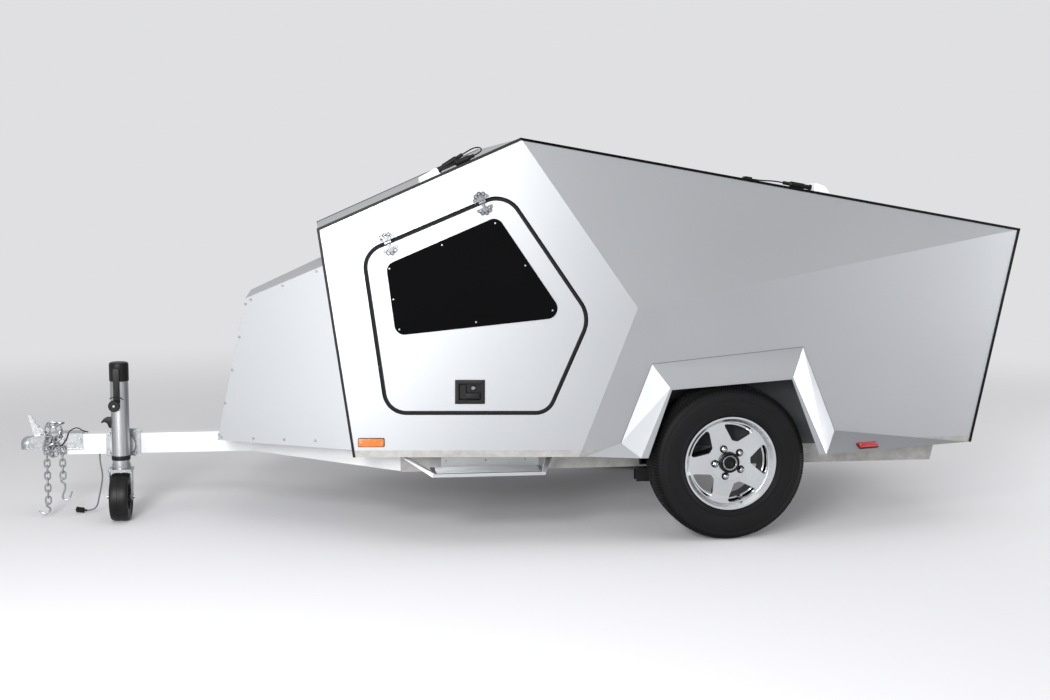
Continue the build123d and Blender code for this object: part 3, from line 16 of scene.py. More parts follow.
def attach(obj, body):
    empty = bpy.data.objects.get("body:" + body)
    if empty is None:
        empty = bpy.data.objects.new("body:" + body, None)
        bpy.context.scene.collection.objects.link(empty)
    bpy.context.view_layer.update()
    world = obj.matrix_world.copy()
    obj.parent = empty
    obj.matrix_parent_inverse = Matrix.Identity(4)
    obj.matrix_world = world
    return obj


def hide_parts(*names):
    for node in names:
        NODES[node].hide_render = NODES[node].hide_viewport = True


bl_info = {
    "name": "Teardrop trailer",
    "version": (1, 0, 0),
    "blender": (4, 2, 0),
    "location": "3D View > Sidebar > Trailer",
    "description": "Dresses the trailer's fixed parts with finishes, fittings, tyres, chains and cords",
    "category": "Object",
}

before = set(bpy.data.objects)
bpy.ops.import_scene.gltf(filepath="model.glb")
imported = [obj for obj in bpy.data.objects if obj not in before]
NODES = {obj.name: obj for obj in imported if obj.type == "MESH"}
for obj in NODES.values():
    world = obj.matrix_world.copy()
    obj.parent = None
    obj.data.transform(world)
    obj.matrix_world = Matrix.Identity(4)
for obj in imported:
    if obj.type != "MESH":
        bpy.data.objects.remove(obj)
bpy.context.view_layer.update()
FINISHES = {}
IN_PLACE = Matrix.Identity(4)
MIRROR = Matrix.Scale(-1, 4, (0, 1, 0))
SIDES = (("left", IN_PLACE), ("right", MIRROR))
# The axle's place along the trailer, in metres
AXLE_X = 0.88587
# Tyre: radius, and its middle plane's distance from the trailer's middle
TYRE_R = 344.0
WHEEL_OUT = 774.5


# Places, in the model's own frame


def at(x, y, z):
    """Point in metres from millimetres, x counted from the axle."""
    return Vector((AXLE_X + x / 1000, y / 1000, z / 1000))


def from_axle(x, y, z):
    """The same point in millimetres, for a form that is drawn where it stands."""
    return Vector((AXLE_X * 1000 + x, y, z))


def plane_of(origin, x_axis, z_axis):
    """Matrix of a working plane: its X, and its outward Z."""
    out = Vector(z_axis).normalized()
    along = Vector(x_axis)
    along = (along - out * along.dot(out)).normalized()
    turn = Matrix((along, out.cross(along), out)).transposed().to_4x4()
    return Matrix.Translation(origin) @ turn


def facing_left(x, y, z):
    """Upright working plane at a point, seen from the left side: X to the rear, Y up."""
    return plane_of(at(x, y, z), (1, 0, 0), (0, -1, 0))


def on(plane, x, y, z=0.0, turn=0.0):
    """The plane moved to a place on it, in millimetres, and turned about its Z, in degrees."""
    moved = Matrix.Translation((x / 1000, y / 1000, z / 1000))
    return plane @ moved @ Matrix.Rotation(math.radians(turn), 4, "Z")


def both(places):
    """Places on the left side, and their mirror images on the right."""
    return [*places, *(MIRROR @ place for place in places)]


def polar(radius, degrees):
    """Place on a circle."""
    turn = math.radians(degrees)
    return radius * math.cos(turn), radius * math.sin(turn)


def slope_of(a, b, c):
    """Plane of three points: X from the first to the second, Z to the left side's outside."""
    out = (b - a).cross(c - a)
    return plane_of(a, b - a, out if out.y < 0 else -out)


# Ways out of the slanted panels
DOOR_OUT = (-0.101906, -0.994427, 0.027019)
FRONT_OUT = (-0.98931, 0.0, -0.14583)
FRONT_ROOF_OUT = (-0.412758, 0.0, 0.910841)
REAR_ROOF_OUT = (0.160105, 0.0, 0.9871)
REAR_OUT = (0.984267, 0.0, -0.176689)
# Points where they end: the front wall's top, the rear wall's top and foot
FRONT_TOP = (-0.89813, 0.0, 1.359)
REAR_TOP = (2.26787, 0.0, 1.371)
REAR_FOOT = (2.09087, 0.0, 0.385)
# Working planes: the door, its slanted top edge, the rear wall, the low facet of the flare behind the wheel,
# and the nose box's side
DOOR = plane_of((-0.75456, -0.74317, 0.38511), (0.99479, -0.101943, 0.0), DOOR_OUT)
HINGE = plane_of((-0.70738, -0.72427, 1.25879), (0.914035, -0.082878, 0.397078), DOOR_OUT)
REAR = plane_of(REAR_FOOT, (0.0, 1.0, 0.0), REAR_OUT)
TAIL = plane_of((1.30787, -0.905, 0.385), (0.96409, 0.265577, 0.0), (0.140334, -0.509435, 0.848989))
NOSE_SIDE = slope_of(at(-2110, -280, 1034), at(-1772, -437, 1186), at(-2244, -280, 388))
WHEEL = facing_left(0, -WHEEL_OUT, TYRE_R)
WHEELS = (("left", WHEEL), ("right", MIRROR @ WHEEL))


# Forms, drawn in millimetres


def lathe(rows, steps=32, closed=False):
    """Form turned about Z from rows of radius and height."""
    form = bmesh.new()
    line = [form.verts.new((radius, 0.0, height)) for radius, height in rows]
    edges = [form.edges.new(pair) for pair in zip(line, line[1:])]
    if closed:
        edges.append(form.edges.new((line[-1], line[0])))
    bmesh.ops.spin(
        form,
        geom=[*line, *edges],
        cent=(0, 0, 0),
        axis=(0, 0, 1),
        dvec=(0, 0, 0),
        angle=2 * math.pi,
        steps=steps,
        use_merge=True,
    )
    return form


def mirrored(rows):
    """Rows of radius and offset, and their mirror image on the way back."""
    return [*rows, *((radius, -offset) for radius, offset in reversed(rows) if offset)]


def soften(form, edges, width, segments=2):
    """Rounds edges over."""
    bmesh.ops.bevel(
        form,
        geom=edges,
        offset=width,
        offset_type="OFFSET",
        segments=segments,
        profile=0.5,
        affect="EDGES",
        material=-1,
    )


def edges_at(form, height):
    """Edges that lie at one height."""
    return [edge for edge in form.edges if all(abs(vert.co.z - height) < 1e-4 for vert in edge.verts)]


def plate(rows, height, edge=0.0, segments=2):
    """Flat form of an (x, y) outline, with its upper rim softened."""
    form = bmesh.new()
    base = form.faces.new([form.verts.new((x, y, 0.0)) for x, y in rows])
    raised = bmesh.ops.extrude_face_region(form, geom=[base], use_keep_orig=True)
    top = [part for part in raised["geom"] if isinstance(part, bmesh.types.BMVert)]
    bmesh.ops.translate(form, verts=top, vec=(0, 0, height))
    if edge:
        soften(form, edges_at(form, height), edge, segments)
    return form


def rounded(width, depth, radius, steps=5):
    """Outline of a rounded rectangle about the origin."""
    rows = []
    for number, (sx, sy) in enumerate(((1, 1), (-1, 1), (-1, -1), (1, -1))):
        for k in range(steps + 1):
            x, y = polar(radius, 90 * number + 90 * k / steps)
            rows.append((sx * (width / 2 - radius) + x, sy * (depth / 2 - radius) + y))
    return rows


def tube(points, radius, sides=8, closed=False, tip=None):
    """Round wire along points: a circle at each, bridged to the next. tip is the radius at the far end."""
    form = bmesh.new()
    spots = [Vector(point) for point in points]
    last = len(spots) - 1
    rings = []
    side = None
    for i, spot in enumerate(spots):
        before = spots[i - 1] if i or closed else spot
        after = spots[(i + 1) % (last + 1)] if i < last or closed else spot
        along = (after - before).normalized()
        side = along.orthogonal() if side is None else side - along * side.dot(along)
        side.normalize()
        turn = Matrix((side, along.cross(side), along)).transposed().to_4x4()
        size = radius if tip is None else radius + (tip - radius) * i / last
        made = bmesh.ops.create_circle(
            form,
            cap_ends=not closed and i in (0, last),
            segments=sides,
            radius=size,
            matrix=Matrix.Translation(spot) @ turn,
        )
        rings.append({edge for vert in made["verts"] for edge in vert.link_edges})
    pairs = list(zip(rings, rings[1:]))
    if closed:
        pairs.append((rings[-1], rings[0]))
    for one, other in pairs:
        bmesh.ops.bridge_loops(form, edges=[*one, *other])
    return form


def screw_head(radius, height=None):
    """Domed head with a round recess for the driver."""
    h = height or radius * 0.55
    recess = [(0.0, h * 0.3), (radius * 0.4, h * 0.3), (radius * 0.42, h)]
    dome = [(radius * 0.62, h * 0.97), (radius * 0.9, h * 0.6), (radius, 0.0), (0.0, 0.0)]
    return lathe([*recess, *dome], 12)


def hex_bolt(radius, height):
    """Hexagon head with a softened crown, and the washer under it."""
    crown = [(radius, height - 1.5), (radius * 0.86, height), (0.0, height)]
    head = lathe([(0.0, 2.0), (radius, 2.0), *crown], 6)
    rim = [(radius * 1.45, 0.0), (radius * 1.5, 1.0), (radius * 1.45, 2.0)]
    washer = lathe([(0.0, 0.0), *rim, (0.0, 2.0)], 20)
    return head, washer


def link(obj):
    """Puts an object in the scene."""
    bpy.context.scene.collection.objects.link(obj)
    return obj


class Shape:
    """A piece in the making: forms in millimetres, each set in its places and given one of the finishes."""

    def __init__(self, *finishes):
        self.whole = bmesh.new()
        self.finishes = finishes

    def add(self, form, places, finish=None):
        """Joins a form to the piece at each place, and uses it up. The first finish is the usual one."""
        bmesh.ops.remove_doubles(form, verts=form.verts, dist=0.001)
        bmesh.ops.recalc_face_normals(form, faces=form.faces)
        number = self.finishes.index(finish) if finish else 0
        for face in form.faces:
            face.material_index = number
        stamp = bpy.data.meshes.new("stamp")
        form.to_mesh(stamp)
        form.free()
        for place in places:
            copy = stamp.copy()
            copy.transform(place @ Matrix.Scale(0.001, 4))
            self.whole.from_mesh(copy)
            bpy.data.meshes.remove(copy)
        bpy.data.meshes.remove(stamp)

    def make(self, name, body, *nodes, sharp=32.0):
        """The finished object, which rides on a body and stands for the nodes."""
        bmesh.ops.recalc_face_normals(self.whole, faces=self.whole.faces)
        mesh = bpy.data.meshes.new(name)
        self.whole.to_mesh(mesh)
        self.whole.free()
        for finish in self.finishes:
            mesh.materials.append(FINISHES[finish])
        mesh.shade_smooth()
        mesh.set_sharp_from_angle(angle=math.radians(sharp))
        piece = link(bpy.data.objects.new(name, mesh))
        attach(piece, body)
        if nodes:
            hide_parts(*nodes)
        return piece


# Colours and materials


def srgb(code):
    """Linear colour of an sRGB hex value."""
    parts = [int(code[i : i + 2], 16) / 255 for i in (0, 2, 4)]
    return [p / 12.92 if p <= 0.04045 else ((p + 0.055) / 1.055) ** 2.4 for p in parts]


def rgba(code):
    """The same colour, opaque."""
    return (*srgb(code), 1.0)


def add_node(tree, kind, inputs=None, **settings):
    """One node with its settings; inputs holds plain values or sockets to link from."""
    new = tree.nodes.new(kind)
    for key, value in settings.items():
        setattr(new, key, value)
    for key, value in (inputs or {}).items():
        if isinstance(value, bpy.types.NodeSocket):
            tree.links.new(value, new.inputs[key])
        else:
            new.inputs[key].default_value = value
    return new


def new_material(name):
    """Empty material, and its tree."""
    made = bpy.data.materials.new(name)
    made.use_nodes = True
    made.node_tree.nodes.clear()
    return made, made.node_tree


def close_material(made, tree, shader):
    """The material, with the shader as its surface."""
    out = add_node(tree, "ShaderNodeOutputMaterial", {"Surface": shader.outputs[0]})
    out.is_active_output = True
    return made


def pattern(tree, size_mm, detail=3.0, roughness=0.55, stretch=(1, 1, 1)):
    """Noise whose features are size_mm across, in the object's own coordinates."""
    place = add_node(tree, "ShaderNodeTexCoord")
    turned = add_node(tree, "ShaderNodeMapping", {"Vector": place.outputs["Object"], "Scale": stretch})
    noise = add_node(
        tree,
        "ShaderNodeTexNoise",
        {
            "Vector": turned.outputs["Vector"],
            "Scale": 1000.0 / size_mm,
            "Detail": detail,
            "Roughness": roughness,
        },
    )
    return noise.outputs["Fac"]


def wander(tree, factor, tones, start=0.3):
    """Colour that follows a pattern from one hex value to the other, and stays on them at both ends."""
    ramp = add_node(tree, "ShaderNodeValToRGB", {"Fac": factor})
    for stop, place, code in zip(ramp.color_ramp.elements, (start, 1.0 - start), tones):
        stop.position = place
        stop.color = rgba(code)
    return ramp.outputs["Color"]


def silver_panel(name, tones, metallic, roughness):
    """Silver lacquer on sheet: a faint haze, the slight waves of a bonded skin, and flake in the lacquer."""
    made, tree = new_material(name)
    wave = add_node(
        tree,
        "ShaderNodeBump",
        {"Height": pattern(tree, 500.0, 1.0), "Distance": 0.25 / 1000, "Strength": 0.5},
    )
    flake = add_node(
        tree,
        "ShaderNodeBump",
        {
            "Height": pattern(tree, 1.6, 1.0),
            "Distance": 0.008 / 1000,
            "Strength": 0.4,
            "Normal": wave.outputs["Normal"],
        },
    )
    shader = add_node(
        tree,
        "ShaderNodeBsdfPrincipled",
        {
            "Base Color": wander(tree, pattern(tree, 900.0, 2.0), tones),
            "Metallic": metallic,
            "Roughness": roughness,
            "Normal": flake.outputs["Normal"],
        },
    )
    return close_material(made, tree, shader)


def mottled(
    name, tones, size_mm, roughness, metallic=0.0, relief_mm=0.02, spread=0.05, specular=0.5, coat=0.0
):
    """A finish whose colour and roughness wander between two close values, with a fine relief."""
    made, tree = new_material(name)
    cloud = pattern(tree, size_mm)
    sheen = add_node(
        tree,
        "ShaderNodeMapRange",
        {"Value": cloud, "To Min": roughness - spread, "To Max": roughness + spread},
    )
    grain = pattern(tree, max(size_mm * 0.08, 0.8), 2.0)
    skin = add_node(tree, "ShaderNodeBump", {"Height": grain, "Distance": relief_mm / 1000, "Strength": 1.0})
    shader = add_node(
        tree,
        "ShaderNodeBsdfPrincipled",
        {
            "Base Color": wander(tree, cloud, tones),
            "Metallic": metallic,
            "Roughness": sheen.outputs["Result"],
            "Normal": skin.outputs["Normal"],
            "Specular IOR Level": specular,
            "Coat Weight": coat,
            "Coat Roughness": 0.08,
        },
    )
    return close_material(made, tree, shader)


def lined(name, tones, roughness, stretch):
    """Metal with fine lines along one direction, from machining, drawing or rolling."""
    made, tree = new_material(name)
    lines = pattern(tree, 3.0, 4.0, 0.6, stretch)
    sheen = add_node(
        tree,
        "ShaderNodeMapRange",
        {"Value": lines, "To Min": roughness - 0.05, "To Max": roughness + 0.05},
    )
    groove = add_node(tree, "ShaderNodeBump", {"Height": lines, "Distance": 0.015 / 1000, "Strength": 1.0})
    shader = add_node(
        tree,
        "ShaderNodeBsdfPrincipled",
        {
            "Base Color": wander(tree, lines, tones, 0.25),
            "Metallic": 1.0,
            "Roughness": sheen.outputs["Result"],
            "Normal": groove.outputs["Normal"],
        },
    )
    return close_material(made, tree, shader)


def metals():
    """Finishes of bare, plated and lacquered metal."""
    return {
        # the body's skin: cool pale silver, between paint and metal
        "panel": silver_panel("silver lacquered composite panel", ("A3A5A8", "A7A9AC"), 0.82, 0.4),
        # the nose box: the same silver, a touch lighter and flatter
        "nose": silver_panel("silver lacquered aluminium sheet", ("A6A8AB", "ABADB0"), 0.75, 0.44),
        # hinges and hubs: bright, hard reflections
        "chrome": mottled(
            "chromed zinc casting", ("85888B", "9C9FA2"), 18.0, 0.2, metallic=1.0, relief_mm=0.01
        ),
        # rails, crossmembers and floor under the body: the frame's steel in a darker, dull, warm grey, which
        # is painted shade of the body's overhang
        "galvanised": mottled(
            "hot-dip galvanised steel", ("8F8E8B", "A3A2A0"), 35.0, 0.5, metallic=0.6, relief_mm=0.03
        ),
        # coupler, chain and bolts: bright, with a slight mottle
        "zinc": mottled("bright zinc-plated steel", ("8E9092", "A8AAAC"), 14.0, 0.32, metallic=0.85),
        # wheels: bright, with the lines of the tool across the spokes
        "alloy": lined("machined cast aluminium", ("C6C9CB", "D6D8DA"), 0.26, (1.0, 0.15, 1.0)),
        # jack's tube: grey, with lines along it that stretch its highlight
        "drawn": lined("drawn plated steel tube", ("9EA0A2", "B4B6B8"), 0.34, (1.0, 1.0, 0.05)),
        # entry steps: soft shine, with lines along the sheet
        "sheet": lined("satin aluminium sheet", ("AEB0B2", "C2C4C5"), 0.42, (0.04, 1.0, 1.0)),
    }


def coatings():
    """Finishes of painted and anodised metal."""
    return {
        # the wells: dark, dull and slightly mottled
        "lining": mottled(
            "dark coated aluminium liner", ("4A4C4F", "55575A"), 160.0, 0.55, metallic=0.5, relief_mm=0.1
        ),
        # the black line round every edge, with hardly any shine
        "trim": mottled(
            "black anodised aluminium extrusion", ("0A0A0B", "101012"), 60.0, 0.42, specular=0.18
        ),
        # the tongue: near white, with the light orange peel of powder
        "frame": mottled(
            "pale grey powder-coated steel", ("CDCECF", "D4D5D6"), 260.0, 0.42, relief_mm=0.04
        ),
        # axle tube, arms and hubs: black and dull
        "black_steel": mottled(
            "black powder-coated steel", ("0E0E0F", "161718"), 45.0, 0.5, relief_mm=0.06, specular=0.2
        ),
    }


def rubbers():
    """Finishes of tyres, seals, cord jackets and sealant."""
    return {
        # the soft black line round doors and hatch
        "seal": mottled("EPDM rubber seal", ("0D0D0E", "141415"), 25.0, 0.66, relief_mm=0.05, specular=0.16),
        # tyre walls: dusty black, with a soft highlight
        "rubber": mottled(
            "carbon-black tyre rubber", ("0A0A0B", "0E0E10"), 90.0, 0.6, relief_mm=0.05, specular=0.16
        ),
        # road tread: greyer, where it has touched the ground
        "tread": mottled(
            "worn tread rubber", ("141415", "1E1E20"), 22.0, 0.8, relief_mm=0.12, specular=0.14
        ),
        # the harness lead: mid grey, smooth and a little waxy
        "grey_cord": mottled("grey PVC cord jacket", ("55575A", "65676A"), 15.0, 0.5),
        # the roof cables: black, smooth
        "black_cord": mottled("black PVC cable jacket", ("0B0B0C", "111112"), 12.0, 0.46, specular=0.2),
        # the bead round the flares: a thin matt grey line
        "sealant": mottled("grey polyurethane sealant", ("515356", "66686B"), 6.0, 0.6, relief_mm=0.1),
    }


def plastics():
    """Finishes of moulded and cast plastic."""
    return {
        # windows: nearly black and glossy, with the backdrop as a faint sheen
        "acrylic": mottled(
            "smoked cast acrylic",
            ("030304", "040405"),
            300.0,
            0.1,
            relief_mm=0.005,
            spread=0.02,
            specular=0.08,
        ),
        # latches, jack's head and its wheel: matt, with a fine texture
        "moulded": mottled(
            "textured black nylon", ("0B0B0C", "121213"), 30.0, 0.45, relief_mm=0.06, specular=0.22
        ),
        # marker lenses: clear deep orange under a gloss
        "amber": mottled(
            "amber acrylic lens", ("C85A08", "E0730F"), 9.0, 0.16, relief_mm=0.08, spread=0.03, coat=0.6
        ),
        # tail lenses: clear deep red under a gloss
        "red": mottled(
            "red acrylic lens", ("8A1017", "A8161E"), 9.0, 0.18, relief_mm=0.08, spread=0.03, coat=0.6
        ),
        # the roof housings: clean white with a satin shine
        "white_box": mottled("white ABS moulding", ("E6E7E8", "EEEFEF"), 60.0, 0.35),
    }


# The fixed parts that wear each finish
NODE_FINISH = {
    "panel": [
        "front_wall", "roof_front", "roof_rear", "rear_frame", "hatch", "flares", "door_left", "door_right",
        "side_front_left", "side_front_right", "side_upper_left", "side_upper_right", "side_lower_left",
        "side_lower_right",
    ],
    "nose": ["nose_box"],
    "lining": ["wheel_wells"],
    "trim": ["edge_trim"],
    "seal": ["door_seal_left", "door_seal_right", "hatch_seal"],
    "acrylic": ["door_window_left", "door_window_right"],
    "moulded": [
        "door_latch_left", "door_latch_right", "hatch_handle", "jack_cap", "jack_wheel", "harness_plug",
        "cable_fittings",
    ],
    "chrome": ["hinge_mounts", "door_hinges_left", "door_hinges_right", "hatch_hinges"],
    "frame": ["tongue", "a_frame"],
    # the floor, rails and crossmembers wear the darker copy of the frame steel, as painted shade under the
    # body
    "galvanised": ["floor", "rails", "crossmembers"],
    "black_steel": ["suspension_mounts", "suspension_arms", "hub_left", "hub_right"],
    "rubber": ["tyre_left", "tyre_right"],
    "alloy": ["rim_left", "rim_right"],
    "zinc": ["coupler", "coupler_latch", "jack_mount", "jack_fork", "safety_chains"],
    "drawn": ["jack_tube", "jack_leg"],
    "sheet": ["steps"],
    "amber": ["marker_lamps"],
    "red": ["tail_lamps"],
    "grey_cord": ["harness_cord"],
    "black_cord": ["roof_cord"],
    "white_box": ["cable_boxes"],
}


def watts(name, where, default):
    """Property for a lamp's power."""
    return FloatProperty(name=name, description="Watts " + where, default=default, min=0.0)


def length(name, description, millimetres, least=0.0):
    """Property for a length, given here in millimetres and kept in metres."""
    return FloatProperty(
        name=name, description=description, default=millimetres / 1000, min=least / 1000, unit="LENGTH"
    )


class TrailerStage(PropertyGroup):
    """Camera, backdrop and lamps."""

    camera_at: FloatVectorProperty(
        name="Camera",
        description="Where the camera stands",
        default=(-0.89723, -6.4432, 1.5134),
        subtype="XYZ",
        unit="LENGTH",
    )
    camera_turn: FloatVectorProperty(
        name="Camera turn",
        description="Yaw, pitch and roll of the view",
        default=(0.1537, 0.116, 0.0077),
        subtype="EULER",
    )
    lens: FloatProperty(
        name="Lens",
        description="Focal length in millimetres, on a sensor 36 mm wide",
        default=45.954,
        min=10.0,
        max=200.0,
    )
    backdrop: FloatVectorProperty(
        name="Backdrop",
        description="Colour behind the trailer",
        default=srgb("E0E0E2"),
        subtype="COLOR",
        min=0.0,
        max=1.0,
    )
    fill: FloatProperty(
        name="Fill", description="Strength of the even light all round", default=0.56, min=0.0
    )
    key_box: watts("Key box", "to the left of the camera", 300.0)
    high_box: watts("High box", "above the door", 108.0)
    low_box: watts("Low box", "at door height", 92.0)
    front_box: watts("Front box", "before the nose", 75.0)
    rear_box: watts("Rear box", "to the right of the camera", 62.0)
    tail_box: watts("Tail box", "beyond the tail", 225.0)
    top_box: watts("Top box", "over the trailer", 50.0)


class TrailerSizes(PropertyGroup):
    """Sizes of the pieces that are drawn here."""

    tread_steps: IntProperty(
        name="Tread steps",
        description="Faces round a tyre, which set the count of its cuts",
        default=300,
        min=60,
        max=600,
    )
    sipe_depth: length("Sipe depth", "Depth of the cross cuts in the tread", 4.0)
    lug_circle: length("Lug circle", "Radius of the lug nuts' circle", 63.5)
    screw: length("Screw head", "Radius of a panel screw's head", 6.0)
    strip: length("Edge strip", "Width of the black edge strips", 8.0, 2.0)
    chain_wire: length("Chain wire", "Wire diameter of the safety chain", 8.0)
    chain_pitch: length("Chain pitch", "Distance from link to link", 29.0)


# Soft lamps: name, place, aim, width and height
SOFTBOXES = [
    ("key_box", (-2.8, -7.2, 2.5), (-0.7, -0.75, 1.1), (1.8, 1.4)),
    ("high_box", (-2.4, -5.0, 3.2), (-0.7, -0.75, 1.1), (1.4, 1.0)),
    ("low_box", (-3.6, -7.5, 0.9), (-0.7, -0.75, 1.0), (1.6, 1.2)),
    ("front_box", (-6.0, -5.5, 1.6), (-0.8, -0.5, 0.7), (2.6, 2.0)),
    ("rear_box", (6.5, -4.0, 0.9), (1.2, -0.8, 0.5), (2.6, 1.6)),
    ("tail_box", (7.0, -0.6, 1.2), (1.2, -0.8, 0.5), (2.6, 2.0)),
    ("top_box", (0.0, -1.5, 6.0), (0.0, -0.6, 0.0), (7.0, 4.0)),
]
# Floor: its radius, and the distances from a middle point between which it fades into the backdrop
FLOOR_R = 26.0
FADE_MIDDLE = (0.0, -2.5, 0.0)
FADE_FROM, FADE_TO = 4.5, 10.0


def softbox(name, spot, aim, size, power):
    """Rectangular lamp at a point, turned to another."""
    lamp = bpy.data.lights.new(name, "AREA")
    lamp.shape = "RECTANGLE"
    lamp.size, lamp.size_y = size
    lamp.energy = power
    holder = link(bpy.data.objects.new(name, lamp))
    holder.location = spot
    holder.rotation_euler = (Vector(aim) - Vector(spot)).to_track_quat("-Z", "Y").to_euler()


def floor_paint():
    """Pale matt paint that fades out with distance, so that the floor has no edge."""
    material, tree = new_material("painted studio floor")
    place = add_node(tree, "ShaderNodeTexCoord")
    reach = add_node(
        tree, "ShaderNodeVectorMath", {0: place.outputs["Object"], 1: FADE_MIDDLE}, operation="DISTANCE"
    )
    fade = add_node(
        tree,
        "ShaderNodeMapRange",
        {"Value": reach.outputs["Value"], "From Min": FADE_FROM, "From Max": FADE_TO},
        interpolation_type="SMOOTHSTEP",
    )
    paint = add_node(tree, "ShaderNodeBsdfDiffuse", {"Color": rgba("DEDEE1")})
    clear = add_node(tree, "ShaderNodeBsdfTransparent")
    mixed = add_node(
        tree, "ShaderNodeMixShader", {0: fade.outputs["Result"], 1: paint.outputs[0], 2: clear.outputs[0]}
    )
    return close_material(material, tree, mixed)


class TRAILER_OT_stage(Operator):
    """Sets the camera, the pale floor and backdrop, and the soft lamps"""

    bl_idname = "trailer.stage"
    bl_label = "Stage"

    def execute(self, context):
        stage = context.scene.trailer_stage
        context.scene.view_settings.view_transform = "Standard"
        self.place_camera(context, stage)
        self.lay_floor()
        self.light_world(context, stage)
        for name, spot, aim, size in SOFTBOXES:
            softbox(name.replace("_", " "), spot, aim, size, getattr(stage, name))
        return {"FINISHED"}

    def place_camera(self, context, stage):
        """The view of the photograph: yaw about Z, then pitch, then roll about the line of sight."""
        yaw, pitch, roll = stage.camera_turn
        ahead = Vector((math.sin(yaw) * math.cos(pitch), math.cos(yaw) * math.cos(pitch), -math.sin(pitch)))
        right = Vector((math.cos(yaw), -math.sin(yaw), 0.0))
        up = right.cross(ahead)
        turned_right = right * math.cos(roll) + up * math.sin(roll)
        turned_up = up * math.cos(roll) - right * math.sin(roll)
        view = bpy.data.cameras.new("photo camera")
        view.lens = stage.lens
        view.sensor_fit = "HORIZONTAL"
        view.sensor_width = 36.0
        view.clip_end = 200.0
        holder = link(bpy.data.objects.new("photo camera", view))
        turn = Matrix((turned_right, turned_up, -ahead)).transposed().to_4x4()
        holder.matrix_world = Matrix.Translation(stage.camera_at) @ turn
        context.scene.camera = holder

    def lay_floor(self):
        """A wide disc that only catches light and shadow."""
        made = bmesh.new()
        bmesh.ops.create_circle(made, cap_ends=True, segments=96, radius=FLOOR_R)
        mesh = bpy.data.meshes.new("studio floor")
        made.to_mesh(mesh)
        made.free()
        mesh.materials.append(floor_paint())
        link(bpy.data.objects.new("studio floor", mesh))

    def light_world(self, context, stage):
        """Even light on the object; camera, metal and glass see the backdrop's own colour instead."""
        world = bpy.data.worlds.new("studio")
        world.use_nodes = True
        context.scene.world = world
        tree = world.node_tree
        tree.nodes.clear()
        rays = add_node(tree, "ShaderNodeLightPath")
        shown = rays.outputs["Is Camera Ray"]
        for kind in ("Is Glossy Ray", "Is Transmission Ray"):
            either = add_node(tree, "ShaderNodeMath", {0: shown, 1: rays.outputs[kind]}, operation="MAXIMUM")
            shown = either.outputs[0]
        backdrop = add_node(tree, "ShaderNodeBackground", {"Color": (*stage.backdrop, 1.0), "Strength": 1.0})
        even = add_node(tree, "ShaderNodeBackground", {"Color": (1.0, 1.0, 1.0, 1.0), "Strength": stage.fill})
        mixed = add_node(
            tree, "ShaderNodeMixShader", {0: shown, 1: even.outputs[0], 2: backdrop.outputs[0]}
        )
        add_node(tree, "ShaderNodeOutputWorld", {"Surface": mixed.outputs[0]})


class TRAILER_OT_finishes(Operator):
    """Makes the finishes and gives each fixed part its own"""

    bl_idname = "trailer.finishes"
    bl_label = "Finishes"

    def execute(self, context):
        for family in (metals, coatings, rubbers, plastics):
            FINISHES.update(family())
        for finish, names in NODE_FINISH.items():
            for name in names:
                mesh = NODES[name].data
                mesh.materials.clear()
                mesh.materials.append(FINISHES[finish])
        return {"FINISHED"}


# Half section of a tyre, from the middle of the tread to the bead: radius, offset from its middle plane
TREAD = [
    (TYRE_R, 0.0), (TYRE_R, 9.5), (336.5, 11.0), (336.5, 19.0), (TYRE_R, 20.5), (343.7, 38.5), (336.5, 40.0),
    (336.5, 47.5), (343.4, 49.0), (342.0, 67.0), (337.5, 79.0), (331.0, 87.0),
]
SIDEWALL = [
    (322.0, 93.5), (317.0, 96.0), (315.0, 98.0), (311.0, 98.8), (309.0, 97.6), (300.0, 99.4), (292.0, 100.8),
    (285.5, 101.6), (284.0, 100.8), (282.0, 100.8), (280.5, 102.0), (262.0, 102.3), (244.0, 100.8),
    (235.0, 99.2), (232.0, 99.4), (229.0, 101.8), (225.0, 101.8), (221.5, 98.4), (214.0, 91.0), (208.5, 84.0),
    (208.5, 77.0),
]
CASING = [(203.0, 76.0), (206.0, 60.0), (240.0, 82.0), (300.0, 86.0), (328.0, 62.0), (331.0, 0.0)]
# Where the tread is cut: offsets of the shoulder, of the middle rib's side and of the outer rib, with the
# least radius of a face that is cut
SHOULDER, SHOULDER_R = (49.5, 92.0), 325.0
MIDDLE_RIB, OUTER_RIB, RIB_R = 9.0, (21.0, 38.0), 342.0
# Rubber that has touched the road, in metres: its radius in the middle, and how much that falls per offset
WORN_R, WORN_FALL = 0.3435, 0.1


